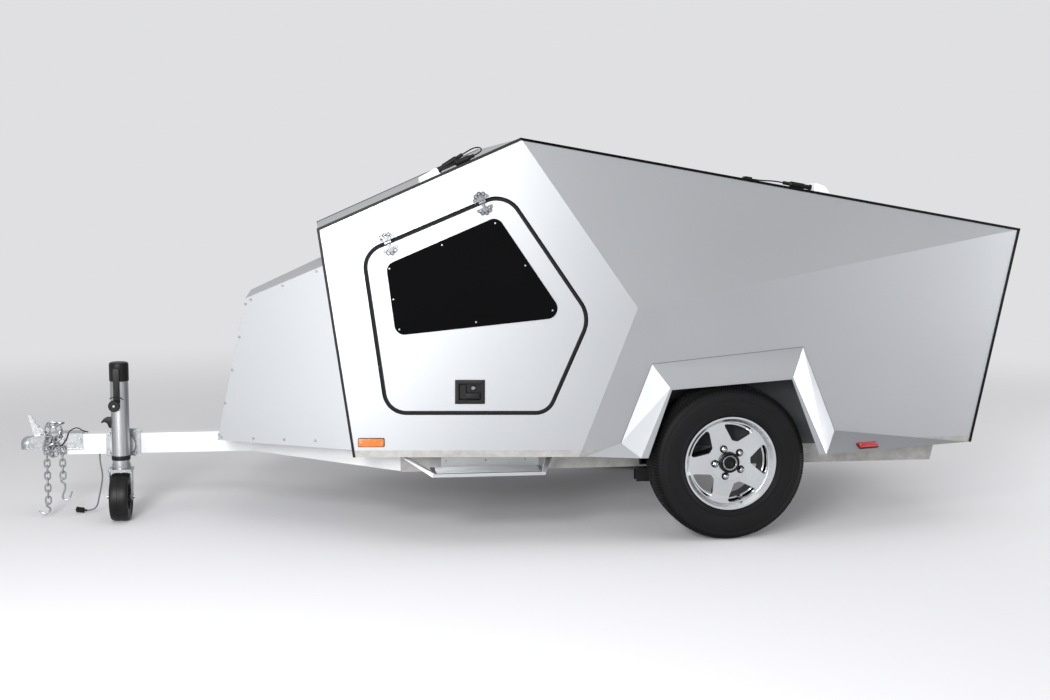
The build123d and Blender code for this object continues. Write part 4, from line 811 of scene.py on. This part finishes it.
class TRAILER_OT_tyres(Operator):
    """Turns the tyres and cuts their tread"""

    bl_idname = "trailer.tyres"
    bl_label = "Tyres"

    def execute(self, context):
        sizes = context.scene.trailer_sizes
        for side, wheel in WHEELS:
            form = lathe(mirrored([*TREAD, *SIDEWALL, *CASING]), sizes.tread_steps, closed=True)
            bmesh.ops.remove_doubles(form, verts=form.verts, dist=0.001)
            bmesh.ops.recalc_face_normals(form, faces=form.faces)
            self.cut_sipes(form, sizes.tread_steps, sizes.sipe_depth * 1000)
            tyre = Shape("rubber", "tread")
            tyre.add(form, [wheel])
            self.wear_tread(tyre)
            tyre.make("tyre_" + side + "_moulded", "wheel_" + side, "tyre_" + side)
        return {"FINISHED"}

    def cut_sipes(self, form, steps, depth):
        """Cross cuts: every other face of the shoulders, and every fourth of the ribs."""
        shoulder, ribs = [], []
        for face in form.faces:
            centre = face.calc_center_median()
            reach = math.hypot(centre.x, centre.y)
            turn = math.degrees(math.atan2(centre.y, centre.x)) % 360
            number = math.floor(turn / 360 * steps)
            across = abs(centre.z)
            middle = across < MIDDLE_RIB
            rib = middle or OUTER_RIB[0] < across < OUTER_RIB[1]
            if SHOULDER[0] < across < SHOULDER[1] and reach > SHOULDER_R and number % 2 == 0:
                shoulder.append(face)
            elif rib and reach > RIB_R and number % 4 == (0 if middle else 2):
                ribs.append(face)
        bmesh.ops.inset_individual(form, faces=shoulder, thickness=0.9, depth=-depth)
        bmesh.ops.inset_individual(form, faces=ribs, thickness=1.6, depth=-depth)

    def wear_tread(self, tyre):
        """Gives the faces that meet the road the worn finish."""
        for face in tyre.whole.faces:
            centre = face.calc_center_median()
            out = centre - at(0, math.copysign(WHEEL_OUT, centre.y), TYRE_R)
            if math.hypot(out.x, out.z) > WORN_R - abs(out.y) * WORN_FALL:
                face.material_index = 1


# Sections of a wheel's centre: radius, and height out from the wheel's middle plane
DRUM = [
    (23, -60), (66, -60), (70, -56), (70, -30), (66, -26), (66, 12), (70, 16), (70, 23), (29, 23), (29, 33),
    (23, 33),
]
COLLAR = [(46, 58.4), (46.5, 68), (44.5, 73), (40, 75), (37, 72), (36, 58.4)]
BRIGHT_RING = [(35.5, 58.4), (35.5, 75), (33, 79), (29, 79.5), (26, 77), (24.5, 72), (24.5, 58.4)]
CENTRE_CAP = [(24, 58.4), (23.5, 70), (20, 73), (14, 73.5), (11, 71), (0, 71)]
CAP_HEX = [(0, 71), (8, 71), (8, 74.5), (6.5, 75.5), (0, 75.5)]
# Thin black ring round each nut's foot: painted shade of the nut's hole in the rim
NUT_SHADE_RING = [(11, 58.5), (17.5, 58.5), (17.0, 59.4), (11, 59.0)]
NUT_HEX = [(0, 58.6), (12.5, 58.6), (12.2, 71), (11, 73), (0, 73)]
NUT_DOME = [(11, 72.5), (10, 77.5), (7, 80.5), (3.5, 81.8), (0, 82)]
LUG_NUTS, FIRST_NUT_TURN = 5, 41
# Tyre valve: its turn round the wheel, then radius from the wheel's axis and height out
VALVE_TURN = -70
VALVE_STEM = [(168, 40), (166, 58), (158, 76)]
VALVE_CAP = [(158, 76), (155, 84)]


class TRAILER_OT_wheel_centres(Operator):
    """Makes the hubs with their caps, lug nuts and valves"""

    bl_idname = "trailer.wheel_centres"
    bl_label = "Wheel centres"

    def execute(self, context):
        circle = context.scene.trailer_sizes.lug_circle * 1000
        for side, wheel in WHEELS:
            hub = Shape("chrome", "moulded", "black_steel", "zinc")
            hub.add(lathe(DRUM, 40, closed=True), [wheel], "black_steel")
            hub.add(lathe(COLLAR, 40, closed=True), [wheel], "moulded")
            hub.add(lathe(BRIGHT_RING, 40, closed=True), [wheel])
            hub.add(lathe(CENTRE_CAP, 40), [wheel], "moulded")
            hub.add(lathe(CAP_HEX, 6), [wheel], "moulded")
            self.add_nuts(hub, wheel, circle)
            hub.add(tube(self.valve_line(VALVE_STEM), 6.5, 10, tip=4.5), [wheel], "moulded")
            hub.add(tube(self.valve_line(VALVE_CAP), 4.2, 10), [wheel], "zinc")
            hub.make("wheel_centre_" + side, "wheel_" + side, "hub_" + side)
        return {"FINISHED"}

    def add_nuts(self, hub, wheel, circle):
        """Lug nuts with domed ends, each on a thin dark ring that is painted shade of its hole in the rim."""
        turns = [FIRST_NUT_TURN + 360 / LUG_NUTS * k for k in range(LUG_NUTS)]
        shade_rings = [on(wheel, *polar(circle, turn)) for turn in turns]
        nuts = [on(wheel, *polar(circle, turn), 0.0, turn) for turn in turns]
        # thin dark rings round the nuts' feet, as painted shade
        hub.add(lathe(NUT_SHADE_RING, 24, closed=True), shade_rings, "moulded")
        hub.add(lathe(NUT_HEX, 6), nuts)
        hub.add(lathe(NUT_DOME, 16), nuts)

    def valve_line(self, rows):
        """Points of the valve, from its rows."""
        return [(*polar(radius, VALVE_TURN), height) for radius, height in rows]


# Screws round the window, on the door: x, y
WINDOW_SCREWS = [
    (156, 809), (378, 910), (603, 1004), (732, 825), (850, 634), (523, 583), (197, 551), (172, 679),
]
# Paddle latch on the door: the middle of its recess, its pull and its lock
LATCH = (498.0, 283.0)
PULL = (510.0, 265.0)
LOCK = (512, 299)
LOCK_FACE = [(0, 1.5), (2.2, 1.5), (2.4, 3), (7, 3), (8.5, 2), (9, 0)]
# Hinges along the door's slanted top edge, and how far above and below it their round leaves are centred
HINGE_AT = (113.324, 548.096)
LEAF_UP, LEAF_DOWN = 11.0, -22.0
LEAF_FACE = 4.0
# Screws in a hinge's leaves: x from the hinge, y from the top edge
UPPER_SCREWS = [(-22.0, 19.0), (22.0, 19.0), (0.0, 36.0)]
LOWER_SCREWS = [(-19.0, -33.0), (19.0, -33.0)]
# Painted shade of a leaf's relief: turns and radius of the dark lines that fan out, and of the dark rings in
# its scallops
RIB_TURNS, RIB_AT = (31.5, 70.5, 109.5, 148.5), 21
RING_TURNS, RING_AT = (12.0, 51.0, 90.0, 129.0, 168.0), 26
RING = [(5.6, 0.0), (5.6, 0.3), (7.4, 0.3), (7.4, 0.0)]


class TRAILER_OT_door_fittings(Operator):
    """Adds the window screws, the paddle latch's details and the hinge screws"""

    bl_idname = "trailer.door_fittings"
    bl_label = "Door fittings"

    def execute(self, context):
        screw = context.scene.trailer_sizes.screw * 1000
        for side, flip in SIDES:
            fittings = Shape("zinc", "moulded", "chrome", "seal")
            window = [flip @ on(DOOR, x, y, 5.0) for x, y in WINDOW_SCREWS]
            fittings.add(screw_head(screw * 0.75), window)
            fittings.add(lathe(LOCK_FACE, 20), [flip @ on(DOOR, *LOCK, -7.0)], "chrome")
            fittings.add(plate(rounded(58, 24, 5), 6.0, 2.0, 3), [flip @ on(DOOR, *PULL, -4.0)], "moulded")
            fittings.add(self.frame_ring(128, 104, 9.0, 12.0, 2.2), [flip @ on(DOOR, *LATCH, 3.0)], "moulded")
            leaves = [flip @ on(HINGE, s + x, y, LEAF_FACE) for s in HINGE_AT for x, y in LOWER_SCREWS]
            fittings.add(screw_head(4.2, 2.2), leaves, "chrome")
            # dark lines and rings on the lower leaves: painted shade of their relief
            self.paint_leaf_shade(fittings, flip, LEAF_DOWN, -1)
            fittings.make("door_fittings_" + side, "door_body_" + side)
        screws = Shape("chrome", "seal")
        upper = [on(HINGE, s + x, y, LEAF_FACE) for s in HINGE_AT for x, y in UPPER_SCREWS]
        screws.add(screw_head(4.2, 2.2), both(upper))
        # dark lines and rings on the upper leaves: painted shade of their relief
        for side, flip in SIDES:
            self.paint_leaf_shade(screws, flip, LEAF_UP, 1)
        screws.make("hinge_screws", "chassis")
        return {"FINISHED"}

    def paint_leaf_shade(self, piece, flip, base, away):
        """Painted shade of a hinge leaf's relief: dark lines that fan out over the leaf, and a dark ring in
        each scallop. away is 1 up, -1 down.
        """
        ribs, rings = [], []
        for s in HINGE_AT:
            for turn in RIB_TURNS:
                x, y = polar(RIB_AT, turn)
                ribs.append(flip @ on(HINGE, s + x, base + away * y, LEAF_FACE, away * turn))
            for turn in RING_TURNS:
                x, y = polar(RING_AT, turn)
                if y > 8.0:
                    rings.append(flip @ on(HINGE, s + x, base + away * y, LEAF_FACE))
        piece.add(plate(rounded(20.0, 2.2, 1.0, 3), 0.3), ribs, "seal")
        piece.add(lathe(RING, 20, closed=True), rings, "seal")

    def frame_ring(self, width, depth, radius, inset, height):
        """Raised rounded rim of a recess."""
        form = plate(rounded(width, depth, radius), height)
        top = max(form.faces, key=lambda face: face.calc_center_median().z)
        bmesh.ops.inset_region(form, faces=[top], thickness=inset, use_even_offset=True)
        inner = max(form.faces, key=lambda face: (round(face.calc_center_median().z, 3), len(face.verts)))
        bmesh.ops.delete(form, geom=[inner], context="FACES_ONLY")
        low = min(form.faces, key=lambda face: face.calc_center_median().z)
        bmesh.ops.delete(form, geom=[low], context="FACES_ONLY")
        soften(form, [edge for edge in edges_at(form, height) if len(edge.link_faces) == 2], 0.8)
        return form


# Screws along the nose box's edges: x, y and height, on the left side
NOSE_SCREWS = [
    (-2113, -281, 1015), (-2088, -291, 1036), (-1940, -360, 1104.5), (-1787, -430, 1173), (-2145, -281, 863),
    (-2179, -281, 708), (-2212, -281, 554), (-2243, -281, 408), (-2230, -286, 397), (-2082, -362, 400),
    (-1940, -434, 404), (-1799, -506, 410),
]
# A point in the middle of that side, and how far the screws stand in from the edges towards it, in metres
NOSE_MIDDLE = at(-1930, -400, 760)
EDGE_STEP = 0.008


class TRAILER_OT_nose_screws(Operator):
    """Puts the screws along the edges of the nose box"""

    bl_idname = "trailer.nose_screws"
    bl_label = "Nose box screws"

    def execute(self, context):
        out = NOSE_SIDE.to_3x3() @ Vector((0, 0, 1))
        foot = NOSE_SIDE.translation
        places = []
        for x, y, z in NOSE_SCREWS:
            spot = at(x, y, z)
            spot -= out * (spot - foot).dot(out)
            inward = NOSE_MIDDLE - spot
            spot += (inward - out * inward.dot(out)).normalized() * EDGE_STEP
            places.append(plane_of(spot, (1, 0, 0.2), out))
        screws = Shape("zinc")
        screws.add(screw_head(context.scene.trailer_sizes.screw * 1000), both(places))
        screws.make("nose_box_screws", "chassis")
        return {"FINISHED"}


# Hanging chains: x, y, height of the top link, links
CHAINS = [(-3034, -62, 312, 9), (-2965, -62, 312, 5)]
# Slack of the chain wound round the coupler: x, y, height, tilt in its plane and turn about it
SLACK = [
    (-3030, -54, 411, 12, 0), (-3036, -57, 385, -10, 80), (-3028, -58, 362, 24, 10),
    (-3010, -60, 342, 62, 75), (-2994, -57, 325, 38, 5), (-3016, -60, 306, -30, 70),
    (-3038, -56, 330, 8, 15), (-2980, -53, 415, -20, 10), (-2972, -57, 392, 14, 80),
    (-2986, -59, 370, 48, 10), (-2996, -61, 350, -8, 65), (-3004, -56, 296, 74, 0),
    (-3006, -30, 430, 85, 20), (-2982, -12, 432, 80, 70), (-3022, -8, 428, 78, 15),
]
# Link: half its straight stretch, and the middle radius of its bends
LINK_HALF, LINK_BEND = 7.0, 12.0
# Hooks at the chains' ends, and how far under the last link's middle they start
HOOK_DROP = 17
# Their middle lines, from the chain down: x, y and height. The front one's hook is small, the rear one's long
GRAB = [
    (0, 0, 6), (-8, 0, 0), (-8, 0, -10), (1, 0, -16), (8, 0, -24), (6, 0, -34), (-4, 0, -43), (-18, 0, -46),
    (-32, 0, -42), (-42, 0, -33),
]
HOOK = [
    (0, 0, 6), (-8, 0, 0), (-9, 0, -10), (-2, 0, -18), (7, 0, -22), (9, 0, -38), (5, 0, -56), (-2, 0, -72),
    (-5, 0, -84), (-1, 0, -94), (9, 0, -99), (20, 0, -97), (28, 0, -89), (33, 0, -76), (38, 0, -60),
]


def link_line():
    """Middle line of a chain link, long along Z."""
    rows = []
    for end, start in ((1, 0), (-1, 180)):
        for k in range(9):
            x, z = polar(LINK_BEND, start + 180 * k / 8)
            rows.append((x, 0.0, end * LINK_HALF + z))
    return rows


class TRAILER_OT_chains(Operator):
    """Links the safety chains, with their slack round the coupler and their hooks"""

    bl_idname = "trailer.chains"
    bl_label = "Safety chains"

    def execute(self, context):
        sizes = context.scene.trailer_sizes
        pitch = sizes.chain_pitch * 1000
        chain = Shape("zinc")
        places = [*self.hanging(pitch), *self.slack()]
        chain.add(tube(link_line(), sizes.chain_wire * 500, 8, closed=True), places)
        hooks = (tube(GRAB, 6.0, 10, tip=3.5), tube(HOOK, 5.0, 10, tip=4.0))
        for (x, y, z, count), hook in zip(CHAINS, hooks):
            foot = z - pitch * (count - 1) - HOOK_DROP
            chain.add(hook, [Matrix.Translation(at(x, y, foot))])
        chain.make("safety_chain_links", "chassis", "safety_chains")
        return {"FINISHED"}

    def hanging(self, pitch):
        """Places of the hanging links, each a quarter turn from the last."""
        places = []
        for x, y, z, count in CHAINS:
            for k in range(count):
                lean = Matrix.Rotation(math.radians(90 * (k % 2) + 8), 4, "Z")
                places.append(Matrix.Translation(at(x, y, z - pitch * k)) @ lean)
        return places

    def slack(self):
        """Places of the links that lie on the coupler."""
        places = []
        for x, y, z, tilt, turn in SLACK:
            lean = Matrix.Rotation(math.radians(tilt), 4, "Y") @ Matrix.Rotation(math.radians(turn), 4, "Z")
            places.append(Matrix.Translation(at(x, y, z)) @ lean)
        return places


# Bolts through the coupler's side: x of each, then y and height of both
COUPLER_BOLT_X = (-2966, -2892)
COUPLER_BOLT_AT = (-42.6, 358)
# Ends of the latch lever's pivots: x, y and height
LATCH_PIVOTS = [(-3094, -4.2, 446), (-3080, -4.2, 417)]
# Wire of the coupler's safety clip: x, y and height
CLIP = [
    (-2991, -47, 318), (-2978, -49, 328), (-2962, -50, 342), (-2950, -50, 358), (-2943, -49, 376),
    (-2938, -46, 392), (-2930, -40, 402), (-2919, -30, 409), (-2906, -20, 412), (-2892, -20, 408),
    (-2880, -26, 401), (-2866, -34, 396), (-2850, -38, 394),
]


class TRAILER_OT_coupler_fittings(Operator):
    """Adds the coupler's bolts and its wire clip"""

    bl_idname = "trailer.coupler_fittings"
    bl_label = "Coupler fittings"

    def execute(self, context):
        fittings = Shape("zinc", "black_steel")
        bolts = both([facing_left(x, *COUPLER_BOLT_AT) for x in COUPLER_BOLT_X])
        for form in hex_bolt(10.5, 9.0):
            fittings.add(form, bolts)
        fittings.add(tube([from_axle(*point) for point in CLIP], 2.6, 8), [IN_PLACE], "black_steel")
        fittings.add(screw_head(5.0, 3.0), [facing_left(*point) for point in LATCH_PIVOTS])
        fittings.make("coupler_fittings", "chassis")
        return {"FINISHED"}


# The jack's tube, by x and y, and its parts along it, by height
JACK = (-2692.0, -127.0)
CAP_AT, BUSH_AT = 677, 282
JACK_CAP = [
    (0, 54), (34, 55.5), (40, 53.5), (43.0, 48), (43.6, 40), (43.6, -28), (42.8, -31), (41.3, -31), (41.3, 0),
    (0, 0),
]
BUSH = [(32.2, -3), (41.5, -3), (42.5, 0), (42.5, 14), (41.5, 17), (32.2, 17)]
# Crank: its boss, arm and knob, by x, y and height
BOSS_AT, ARM_AT, KNOB_AT = (-2698, -160, 694), (-2698, -169, 610), (-2708, -178, 537)
KNOB = [(0, 24), (8, 24), (10, 22), (21, 22), (25.5, 19), (27, 12), (26, 5), (18, 0), (0, 0)]
# The arm's right side, from its foot up: x, y. It is broad at the boss, waisted, and rounded at both ends
ARM = [(15, -60), (14, -20), (14, 30), (16, 62), (16, 92), (11, 99)]
ARM_FOOT = [(-10, -72), (10, -72)]
# The jack's release lever, from the tube's axis, and the wire over the cap: x and height
LEVER = [
    (-36, 480), (-45, 478), (-60, 478), (-75, 468), (-85, 455), (-83, 450), (-70, 455), (-58, 449),
    (-50, 429), (-36, 424),
]
SPRING = [(-2728, 571), (-2719, 576), (-2706, 578), (-2691, 577), (-2677, 572), (-2666, 565)]
SPRING_Y = -185.5
# Bolts of the jack's plate: x and height, and the plate's face
PLATE_BOLTS = [(x, z) for x in (-2756, -2641) for z in (387, 292)]
PLATE_FACE = -46.0
# The jack's wheel: y and height of its axle, half the fork's width, and half sections by radius and offset
ROLLER_AT = (-159, 110)
FORK_HALF = 54.0
ROLLER_TREAD = [
    (62, -36), (90, -36), (97, -41), (103, -41), (107, -37), (109.2, -29), (110, -18), (110, -6),
    (108.6, -4.5),
]
ROLLER_WEB = [(9, -42), (16, -42), (18, -38), (20, -24), (58, -20), (62, -34)]


class TRAILER_OT_jack(Operator):
    """Makes the jack's head with its crank and lever, its wheel and its bolts"""

    bl_idname = "trailer.jack"
    bl_label = "Jack"

    def execute(self, context):
        self.make_head()
        self.make_roller()
        bolts = Shape("zinc")
        for form in hex_bolt(10.0, 8.0):
            bolts.add(form, [facing_left(x, PLATE_FACE, z) for x, z in PLATE_BOLTS])
        bolts.make("jack_plate_bolts", "chassis")
        axle = Shape("zinc")
        ends = [plane_of(at(JACK[0] + e * FORK_HALF, *ROLLER_AT), (0, 1, 0), (e, 0, 0)) for e in (-1, 1)]
        for form in hex_bolt(9.0, 8.0):
            axle.add(form, ends)
        axle.make("jack_axle_nuts", "jack_caster")
        return {"FINISHED"}

    def make_head(self):
        """Cap, bush, crank, and the release lever with its wire."""
        head = Shape("moulded", "zinc")
        head.add(lathe(JACK_CAP, 40), [Matrix.Translation(at(*JACK, CAP_AT))])
        head.add(lathe(BUSH, 40, closed=True), [Matrix.Translation(at(*JACK, BUSH_AT))])
        arm = [*ARM, *((-x, y) for x, y in reversed(ARM)), *ARM_FOOT]
        head.add(plate(arm, 12.0, 2.5, 3), [facing_left(*ARM_AT)])
        head.add(plate(rounded(30, 36, 8), 10.0), [facing_left(*BOSS_AT)])
        knob = facing_left(*KNOB_AT)
        head.add(lathe(KNOB, 32), [knob])
        head.add(screw_head(7.0, 3.0), [on(knob, 0, 0, 23.5)], "zinc")
        head.add(plate(LEVER, 16.0, 2.0), [facing_left(JACK[0], JACK[1] + 8, 0)])
        head.add(tube([from_axle(x, SPRING_Y, z) for x, z in SPRING], 2.2, 8), [IN_PLACE])
        head.make("jack_head", "jack_outer", "jack_cap")

    def make_roller(self):
        """Grooved solid tread on a dished web."""
        roller = Shape("moulded")
        line = plane_of(at(JACK[0], *ROLLER_AT), (0, 0, 1), (1, 0, 0))
        roller.add(lathe(mirrored(ROLLER_TREAD), 64, closed=True), [line])
        roller.add(lathe(mirrored(ROLLER_WEB), 48, closed=True), [line])
        roller.make("jack_wheel_moulded", "jack_roller", "jack_wheel")


# Lamps: their middles on their panels
MARKER_AT, TAIL_SIDE_AT, TAIL_REAR_AT = (76, 64.5), (243, 32), (-627.5, 135)


class TRAILER_OT_lamps(Operator):
    """Makes the amber and red lamps with their bases and ribbed lenses"""

    bl_idname = "trailer.lamps"
    bl_label = "Lamps"

    def execute(self, context):
        amber = Shape("amber", "moulded", "zinc")
        self.side_lamp(amber, on(DOOR, *MARKER_AT), 114, 39)
        amber.make("marker_lamp_lenses", "chassis", "marker_lamps")
        red = Shape("red", "moulded", "zinc")
        self.side_lamp(red, on(TAIL, *TAIL_SIDE_AT), 106, 36)
        self.rear_lamp(red, on(REAR, *TAIL_REAR_AT), 45, 150)
        red.make("tail_lamp_lenses", "chassis", "tail_lamps")
        return {"FINISHED"}

    def side_lamp(self, lamp, spot, width, depth):
        """Low base and domed lens, with five ribs along it and a screw at each end."""
        lamp.add(plate(rounded(width, depth, 6), 4.0, 1.0), both([spot]), "moulded")
        lamp.add(plate(rounded(width - 6, depth - 6, 5), 7.5, 2.5, 3), both([on(spot, 0, 0, 4.0)]))
        for k in range(-2, 3):
            ridge = on(spot, 0, k * (depth - 14) / 4, 11.2)
            lamp.add(plate(rounded(width - 44, 2.6, 1.2, 3), 0.8, 0.3, 1), both([ridge]))
        ends = [on(spot, e * (width / 2 - 13), 0, 11.4) for e in (-1, 1)]
        lamp.add(screw_head(3.2, 1.6), both(ends), "zinc")

    def rear_lamp(self, lamp, spot, width, depth):
        """Tall base with a deep lens."""
        lamp.add(plate(rounded(width, depth, 6), 8.0, 1.2), both([spot]), "moulded")
        lamp.add(plate(rounded(width - 4, depth - 4, 5), 18.0, 5.0, 3), both([on(spot, 0, 0, 8.0)]))


# Entry step on the left: the tread's middle, then x of the screws in its riser, and the riser's y and height
STEP_AT = (-1066, -770, 325)
RISER_SCREW_X = (-1240, -1066, -890)
RISER_AT = (-703.4, 352)


class TRAILER_OT_step_grips(Operator):
    """Lays the grip ribs and screws on the entry steps"""

    bl_idname = "trailer.step_grips"
    bl_label = "Step grips"

    def execute(self, context):
        grips = Shape("sheet", "zinc")
        ribs = [on(Matrix.Translation(at(*STEP_AT)), 0, k * 18) for k in range(-3, 4)]
        grips.add(plate(rounded(450, 5, 2), 1.6, 0.6), both(ribs))
        riser = [facing_left(x, *RISER_AT) for x in RISER_SCREW_X]
        grips.add(screw_head(5.0, 2.6), both(riser), "zinc")
        grips.make("step_grips", "chassis")
        return {"FINISHED"}


# Planes of the body's ends, which the edge strips follow: a point and the way out
END_PLANES = [
    (FRONT_TOP, FRONT_OUT),
    (FRONT_TOP, FRONT_ROOF_OUT),
    (REAR_TOP, REAR_ROOF_OUT),
    (REAR_FOOT, REAR_OUT),
]


class TRAILER_OT_edge_strips(Operator):
    """Cuts the black edge strips to the width that shows on the sides"""

    bl_idname = "trailer.edge_strips"
    bl_label = "Edge strips"

    def execute(self, context):
        width = context.scene.trailer_sizes.strip
        node = NODES["edge_trim"]
        form = bmesh.new()
        form.from_mesh(node.data)
        form.transform(node.matrix_world)
        cuts = [(Vector(spot) - Vector(out) * width, Vector(out)) for spot, out in END_PLANES]
        for spot, out in cuts:
            whole = [*form.verts, *form.edges, *form.faces]
            bmesh.ops.bisect_plane(form, geom=whole, dist=1e-6, plane_co=spot, plane_no=out)
        inner = [face for face in form.faces if self.is_inside(face.calc_center_median(), cuts)]
        bmesh.ops.delete(form, geom=inner, context="FACES")
        bmesh.ops.holes_fill(form, edges=[edge for edge in form.edges if edge.is_boundary], sides=0)
        form.transform(Matrix.Scale(1000.0, 4))
        strips = Shape("trim")
        strips.add(form, [IN_PLACE])
        strips.make("edge_strips", "chassis", "edge_trim")
        return {"FINISHED"}

    def is_inside(self, centre, cuts):
        """True behind all the cuts."""
        return all((centre - spot).dot(out) < -1e-5 for spot, out in cuts)


# Where the left flare meets the lower panel: x and height
FLARE_LINE = [(-488, 440), (-357, 785), (346, 847), (518, 462)]
# Corners of that panel: x, y and height
LOWER_PANEL = [(-427, -850, 1030), (-659, -841, 385), (1382, -720, 1371)]


def on_lower(x, z):
    """Point of the left lower panel, in millimetres of the model's own frame."""
    a, b, c = (Vector(corner) for corner in LOWER_PANEL)
    out = (b - a).cross(c - a)
    return from_axle(x, a.y - (out.x * (x - a.x) + out.z * (z - a.z)) / out.y, z)


class TRAILER_OT_flare_joints(Operator):
    """Runs the sealant bead where the flares meet the body"""

    bl_idname = "trailer.flare_joints"
    bl_label = "Flare joints"

    def execute(self, context):
        joints = Shape("sealant")
        joints.add(tube([on_lower(x, z) for x, z in FLARE_LINE], 1.6, 6), both([IN_PLACE]))
        joints.make("flare_joints", "chassis")
        return {"FINISHED"}


# Routes of the cords: x, y and height in metres, in the model's own frame
HARNESS = [
    (-1.92013, -0.008, 0.29), (-1.92013, -0.008, 0.24), (-1.90813, -0.009, 0.186), (-1.91613, -0.01, 0.13),
    (-1.92813, -0.01, 0.078), (-1.93813, -0.008, 0.03), (-1.96913, -0.005, 0.011), (-1.99813, -0.002, 0.014),
]
FRONT_CABLE = [
    (-0.27748, -0.64, 1.67987), (-0.25519, -0.64, 1.69427), (-0.23051, -0.64, 1.70765),
    (-0.21114, -0.6525, 1.71094), (-0.2006, -0.672, 1.70584), (-0.20119, -0.6905, 1.69624),
    (-0.21461, -0.7, 1.68467), (-0.23396, -0.7, 1.6748),
]
REAR_CABLE = [
    (1.15124, -0.68, 1.57136), (1.12596, -0.68, 1.57597), (1.09101, -0.683, 1.57911),
    (1.05056, -0.686, 1.57959), (1.00118, -0.686, 1.58557),
]
# Roof cables: name, route and length in metres
ROOF_CABLES = [("front_roof_cable", FRONT_CABLE, 0.160), ("rear_roof_cable", REAR_CABLE, 0.151)]
# Sections of the harness plug, by radius and distance from the cord's end: relief, square grip and a pin
PLUG_RELIEF = [(0, -14), (4.2, -14), (4.6, -8), (5.4, -2), (8, 1), (0, 1)]
PLUG_GRIP = [
    (0, 0), (10, 0), (13.6, 4), (13.6, 11), (12.2, 12), (12.2, 15), (13.6, 16), (13.6, 19), (12.2, 20),
    (12.2, 23), (13.8, 24), (13.8, 37), (13, 38), (11.6, 38), (11.6, 31), (0, 31),
]
PLUG_PIN = [(0, 31), (1.9, 31), (1.9, 36), (1.2, 37.2), (0, 37.2)]
PINS_AT = [(-5, 0), (0, 5), (5, 0), (0, -5)]


def cord_curve(name, route, diameter, finish):
    """Smooth round curve along a route's points."""
    curve = bpy.data.curves.new(name, "CURVE")
    curve.dimensions = "3D"
    curve.bevel_depth = diameter / 2
    curve.bevel_resolution = 4
    curve.use_fill_caps = True
    line = curve.splines.new("NURBS")
    line.points.add(len(route) - 1)
    for point, spot in zip(line.points, route):
        point.co = (*spot, 1.0)
    line.order_u = 3
    line.use_endpoint_u = True
    line.resolution_u = 10
    curve.materials.append(FINISHES[finish])
    cord = link(bpy.data.objects.new(name, curve))
    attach(cord, "chassis")
    return cord


class TRAILER_OT_cords(Operator):
    """Runs the harness cord with its plug, and the two roof cables"""

    bl_idname = "trailer.cords"
    bl_label = "Cords"

    def execute(self, context):
        plug = self.make_plug()
        cord = cord_curve("harness_lead", HARNESS, 0.007, "grey_cord")
        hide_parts("harness_cord")
        for name, route, length in ROOF_CABLES:
            cable = cord_curve(name, route, 0.006, "black_cord")
            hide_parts("roof_cord")
        return {"FINISHED"}

    def make_plug(self):
        """Square grip with moulded ribs, a tapered relief and the open contact end with its pins."""
        end, before = Vector(HARNESS[-1]), Vector(HARNESS[-2])
        axis = plane_of(end, (0, 0, 1), end - before)
        plug = Shape("moulded", "zinc")
        plug.add(lathe(PLUG_RELIEF, 20), [axis])
        plug.add(lathe(PLUG_GRIP, 4), [axis])
        plug.add(lathe(PLUG_PIN, 10), [on(axis, x, y) for x, y in PINS_AT], "zinc")
        return plug.make("harness_plug_moulded", "chassis", "harness_plug")


class TRAILER_PT_panel(Panel):
    """Lists the steps in the sidebar"""

    bl_label = "Trailer"
    bl_idname = "TRAILER_PT_panel"
    bl_space_type = "VIEW_3D"
    bl_region_type = "UI"
    bl_category = "Trailer"

    def draw(self, context):
        for group in (context.scene.trailer_stage, context.scene.trailer_sizes):
            for key in group.bl_rna.properties.keys():
                if key not in ("rna_type", "name"):
                    self.layout.prop(group, key)
        for step in STEPS:
            self.layout.operator(step.bl_idname)


STEPS = (
    TRAILER_OT_stage,
    TRAILER_OT_finishes,
    TRAILER_OT_tyres,
    TRAILER_OT_wheel_centres,
    TRAILER_OT_door_fittings,
    TRAILER_OT_nose_screws,
    TRAILER_OT_chains,
    TRAILER_OT_coupler_fittings,
    TRAILER_OT_jack,
    TRAILER_OT_lamps,
    TRAILER_OT_step_grips,
    TRAILER_OT_edge_strips,
    TRAILER_OT_flare_joints,
    TRAILER_OT_cords,
)
CLASSES = (TrailerStage, TrailerSizes, *STEPS, TRAILER_PT_panel)


def register():
    for kind in CLASSES:
        bpy.utils.register_class(kind)
    bpy.types.Scene.trailer_stage = PointerProperty(type=TrailerStage)
    bpy.types.Scene.trailer_sizes = PointerProperty(type=TrailerSizes)


def unregister():
    del bpy.types.Scene.trailer_sizes
    del bpy.types.Scene.trailer_stage
    for kind in reversed(CLASSES):
        bpy.utils.unregister_class(kind)


def main():
    register()
    bpy.ops.trailer.stage()
    bpy.ops.trailer.finishes()
    bpy.ops.trailer.tyres()
    bpy.ops.trailer.wheel_centres()
    bpy.ops.trailer.door_fittings()
    bpy.ops.trailer.nose_screws()
    bpy.ops.trailer.chains()
    bpy.ops.trailer.coupler_fittings()
    bpy.ops.trailer.jack()
    bpy.ops.trailer.lamps()
    bpy.ops.trailer.step_grips()
    bpy.ops.trailer.edge_strips()
    bpy.ops.trailer.flare_joints()
    bpy.ops.trailer.cords()


if __name__ == "__main__":
    main()
